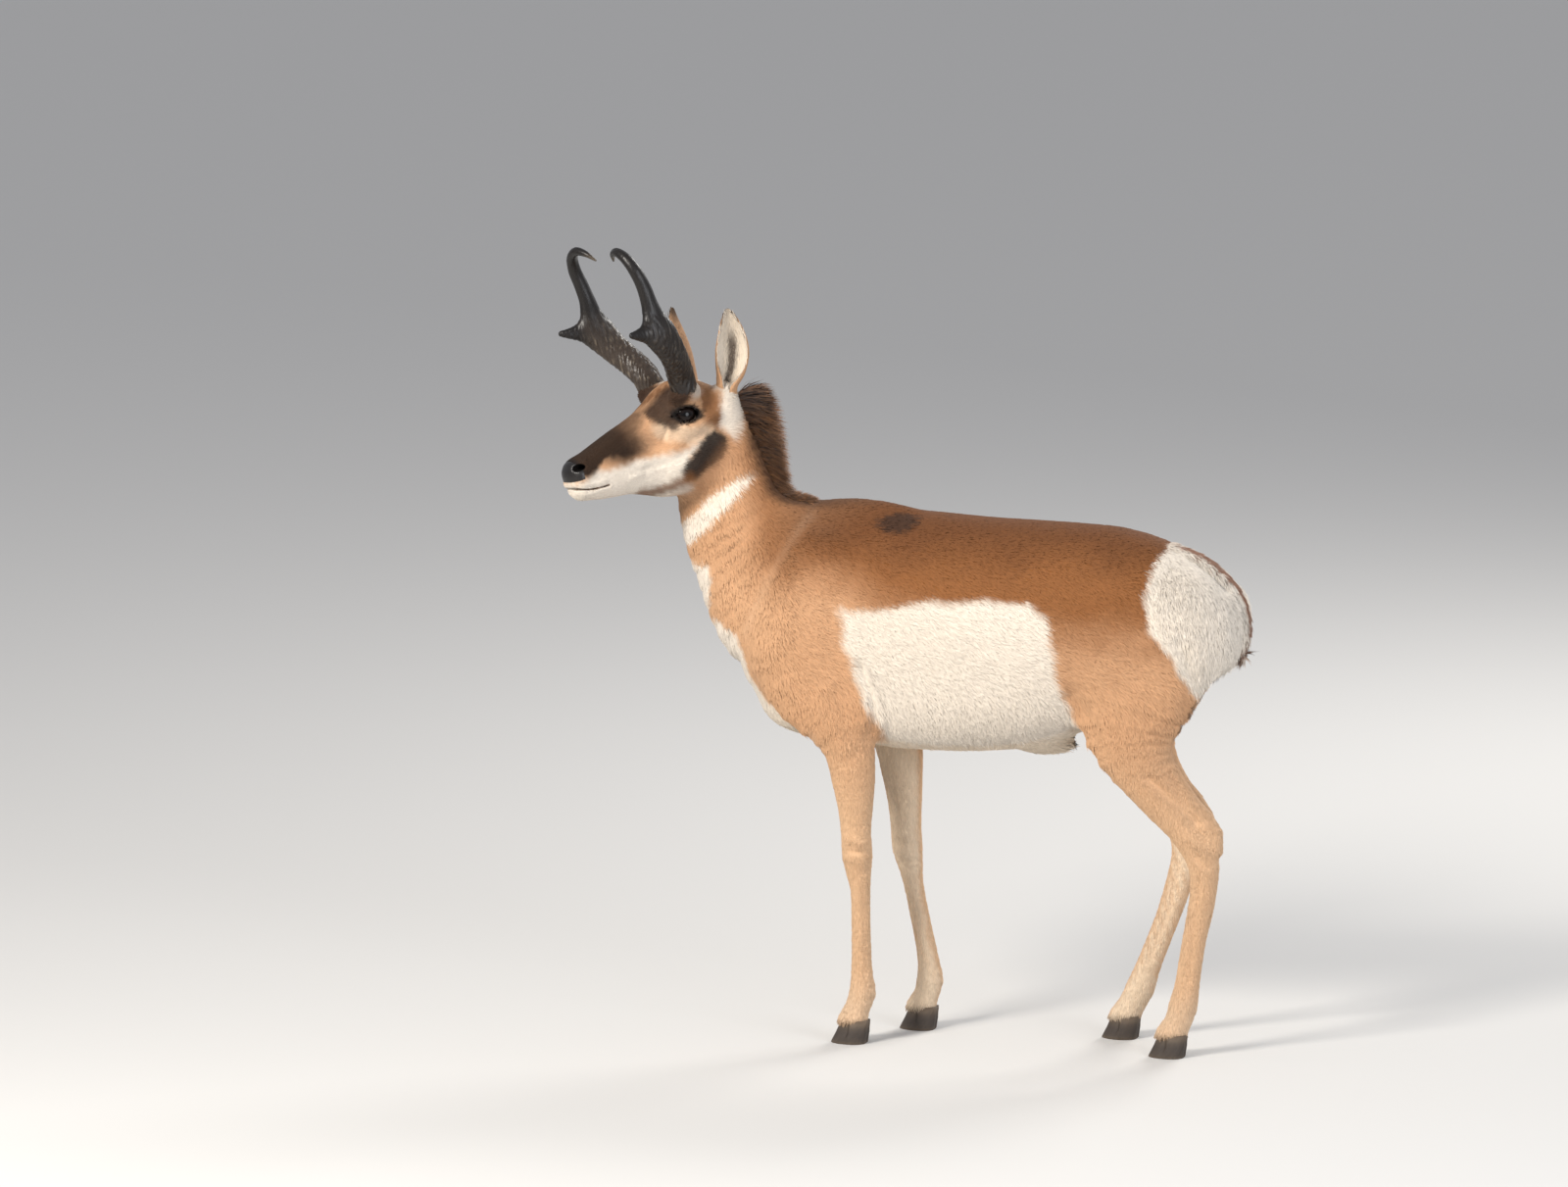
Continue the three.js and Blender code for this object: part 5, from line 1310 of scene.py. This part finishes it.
horn_points, horn_quads, horn_streaks, horn_knobs = horn_shape()


def horn(side, name):
    u = horn_points[:, 2]
    flip = np.array([1, side, 1])
    mesh = mesh_from(name, from_head(horn_points * flip), horn_quads if side > 0 else horn_quads[:, ::-1])
    low = rgb(58, 48, 40) if side < 0 else rgb(30, 23, 18)
    out = np.maximum(ease(130, 205, u), ease(48, 78, horn_points[:, 0]))
    c = mix(np.tile(low, (len(u), 1)), rgb(19, 15, 13), out[:, None])
    fleck = ease(0.3, 0.95, horn_streaks * 0.6 + horn_knobs * 0.5) * (1 - out)
    c = mix(c, rgb(150, 136, 116), (fleck * (0.3 if side < 0 else 0.1))[:, None])
    c = c * (1 - 0.25 * ease(0.1, -0.9, horn_streaks) * (1 - out))[:, None]
    worn = ease(300, 284, u) * 0.35 * (horn_points[:, 1] < 44) * (u > 240)
    c = mix(c, rgb(120, 104, 84), worn[:, None])
    set_colours(mesh, c)
    thing = link(mesh, horn_material)
    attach(thing, "root")
    return thing


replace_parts(horn(1, "horn_looks_left"), "horn_left")
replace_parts(horn(-1, "horn_looks_right"), "horn_right")


# Eyes: dark and wet, with a faint level pupil
def eye(side, name):
    mesh = bpy.data.meshes.new(name)
    bm = bmesh.new()
    bmesh.ops.create_uvsphere(bm, u_segments=48, v_segments=32, radius=1.0)
    bm.to_mesh(mesh)
    bm.free()
    local = unit(vectors(mesh.vertices, "co"))
    flip = np.array([1, side, 1])
    out, front, up = ((way * flip) @ HEAD_AXES for way in (eye_out, eye_front, eye_up))
    away = np.arccos(np.clip(local @ out, -1, 1))
    bulge = 1 + CORNEA_BULGE * np.exp(-((away / CORNEA_ANGLE) ** 2))
    points = from_head(EYE_AT * flip) + local * (EYE_RADIUS - 0.1) * bulge[:, None]
    mesh.polygons.foreach_set("use_smooth", np.full(len(mesh.polygons), True))
    put_points(mesh, points)
    a, b = local @ front, local @ up
    pupil = np.sqrt((a / PUPIL_WIDE) ** 2 + (b / PUPIL_HIGH) ** 2)
    iris = np.sqrt(a * a + b * b)
    c = mix(np.tile(rgb(22, 14, 11), (len(points), 1)), rgb(5, 4, 5), ease(1.15, 0.9, pupil)[:, None])
    c = mix(c, rgb(9, 7, 6), ease(0.66, 0.78, iris)[:, None])
    set_colours(mesh, c)
    thing = link(mesh, eye_material)
    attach(thing, "root")
    return thing


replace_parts(eye(1, "eye_looks_left"), "eye_left")
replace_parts(eye(-1, "eye_looks_right"), "eye_right")

# Hooves: two claws on each foot
HOOF_LONG, HOOF_WIDE, CLEFT = 60.0, 26.0, 2.4
HOOF_LEAN, HEEL_LEAN = 16.0, 4.0
INNER_WALL = 7
CLAW_OUTLINE = [(-0.5, 0.12), (-0.4, 0.52), (-0.2, 0.84), (0.08, 1), (0.32, 0.92), (0.47, 0.6),
                (0.5, 0.2), (0.42, 0), (-0.42, 0)]
CLAW_RINGS = ((0, 0.97), (1.2, 1.0), (6, 0.995), (12, 0.98), (18, 0.95), (25, 0.90), (31, 0.85),
              (38, 0.72))


# A smooth outline of a claw, with its flat inner wall
def rounded(outline):
    o = np.array(outline + outline[:1], float)
    made = []
    for i in range(len(outline)):
        p0, p1, p2, p3 = (o[(i + d) % len(outline)] for d in (-1, 0, 1, 2))
        for s in np.linspace(0, 1, 4, endpoint=False):
            if i >= INNER_WALL:
                made.append(mix(p1, p2, s))
                continue
            made.append(0.5 * (2 * p1 + (p2 - p0) * s + (2 * p0 - 5 * p1 + 4 * p2 - p3) * s ** 2
                               + (3 * p1 - p0 - 3 * p2 + p3) * s ** 3))
    return np.array(made)


def claw(foot, side, name, node):
    shape = rounded(CLAW_OUTLINE)
    shape[:, 1] = np.maximum(shape[:, 1], 0)
    rings = []
    for z, grow in CLAW_RINGS:
        share = np.interp(z, (0, 12, HOOF_TOP), (0, 0.36, 1.0))
        move = np.where(shape[:, 0] < 0, HOOF_LEAN, HEEL_LEAN) * share
        ripple = 0.25 * math.sin(z * 1.3)
        x = foot[0] + shape[:, 0] * HOOF_LONG * (0.995 if z else 0.98) + move - ripple
        y = foot[1] + side * (CLEFT / 2 + shape[:, 1] * HOOF_WIDE * grow)
        rings.append(np.stack([x, y, np.full(len(x), float(z))], 1))
    points, quads = skin_over(np.array(rings))
    mesh = mesh_of_mixed(name, points, quads)
    z = points[:, 2]
    c = mix(np.tile(rgb(64, 56, 50), (len(points), 1)), rgb(98, 84, 70), ease(20, 36, z)[:, None])
    c = mix(c, rgb(120, 104, 86), ease(8, 0, z)[:, None] * 0.35)
    c = c * (1 + 0.12 * fine(points * 3)[:, None])
    set_colours(mesh, np.clip(c, 0, 1))
    thing = link(mesh, hoof_material)
    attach(thing, "root")
    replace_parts(thing, node)


FEET = {"fore_left": (-121, -75), "fore_right": (-41, 75),
        "hind_left": (417, -75), "hind_right": (303, 75)}
for foot_name, at in FEET.items():
    for toe, side in (("a", 1), ("b", -1)):
        claw(at, side, f"claw_{foot_name}_{toe}", f"hoof_{foot_name}_{toe}")

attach(skin, "root")
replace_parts(skin, "torso", "neck", "head", "tail", "ear_left", "ear_right",
            "foreleg_left", "foreleg_right", "hindleg_left", "hindleg_right")
for piece in coat_pieces:
    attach(piece, "root")

# Camera at the photograph's angle, from afar through a long lens
AZIMUTH, ELEVATION = math.radians(14), math.radians(9.5)
ca, sa, ce, se = math.cos(AZIMUTH), math.sin(AZIMUTH), math.cos(ELEVATION), math.sin(ELEVATION)
right = np.array([ca, sa, 0])
upward = np.array([-se * sa, se * ca, ce])
back = np.array([sa * ce, -ca * ce, se])
MM_PER_PIXEL = 1.62
DISTANCE = 40.0
# In pixels: the picture's width and middle, and where the point under the body's middle shows in it
PICTURE_WIDTH, PICTURE_MIDDLE, ORIGIN_SHOWS_AT = 1600, (800, 605.5), (950, 1058)
across, above = PICTURE_MIDDLE[0] - ORIGIN_SHOWS_AT[0], ORIGIN_SHOWS_AT[1] - PICTURE_MIDDLE[1]
middle = ((right * across + upward * above) * MM_PER_PIXEL + SHIFT) / 1000
camera_data = bpy.data.cameras.new("camera")
camera = add("camera", camera_data)
camera.location = middle + back * DISTANCE
camera.rotation_euler = (math.pi / 2 - ELEVATION, 0, AZIMUTH)
camera_data.sensor_width = 36
camera_data.lens = 36 * DISTANCE / (PICTURE_WIDTH * MM_PER_PIXEL / 1000)
camera_data.clip_end = 200
bpy.context.scene.camera = camera

# Floor and soft studio light
FLOOR = 30
floor_mesh = bpy.data.meshes.new("floor")
floor_corners = [(-FLOOR, -FLOOR, 0), (FLOOR, -FLOOR, 0), (FLOOR, FLOOR, 0), (-FLOOR, FLOOR, 0)]
floor_mesh.from_pydata(floor_corners, [], [(0, 1, 2, 3)])
floor = link(floor_mesh, principled("floor", 0.9, 0.1, colour=(0.62, 0.61, 0.59)))
world = bpy.data.worlds.new("world")
bpy.context.scene.world = world
world.use_nodes = True
sky = world.node_tree.nodes["Background"].inputs
sky["Color"].default_value = (0.92, 0.94, 1.0, 1)
sky["Strength"].default_value = 0.55


def lamp(name, at, size, power, tint):
    data = bpy.data.lights.new(name, "AREA")
    data.shape = "DISK"
    data.size = size
    data.energy = power
    data.color = tint
    thing = add(name, data)
    thing.location = at
    way = np.array([0, 0, 0.7]) - np.array(at)
    tilt = math.atan2(math.hypot(way[0], way[1]), -way[2])
    thing.rotation_euler = (tilt, 0, math.atan2(way[1], way[0]) - math.pi / 2)


lamp("key", (-2.0, -3.9, 3.4), 1.5, 268, (1.0, 0.95, 0.88))
lamp("fill", (3.6, -3.0, 1.6), 2.6, 95, (0.92, 0.95, 1.0))
lamp("rim", (1.5, 3.6, 3.2), 1.8, 120, (1.0, 0.98, 0.95))
bpy.context.scene.view_settings.view_transform = "Standard"
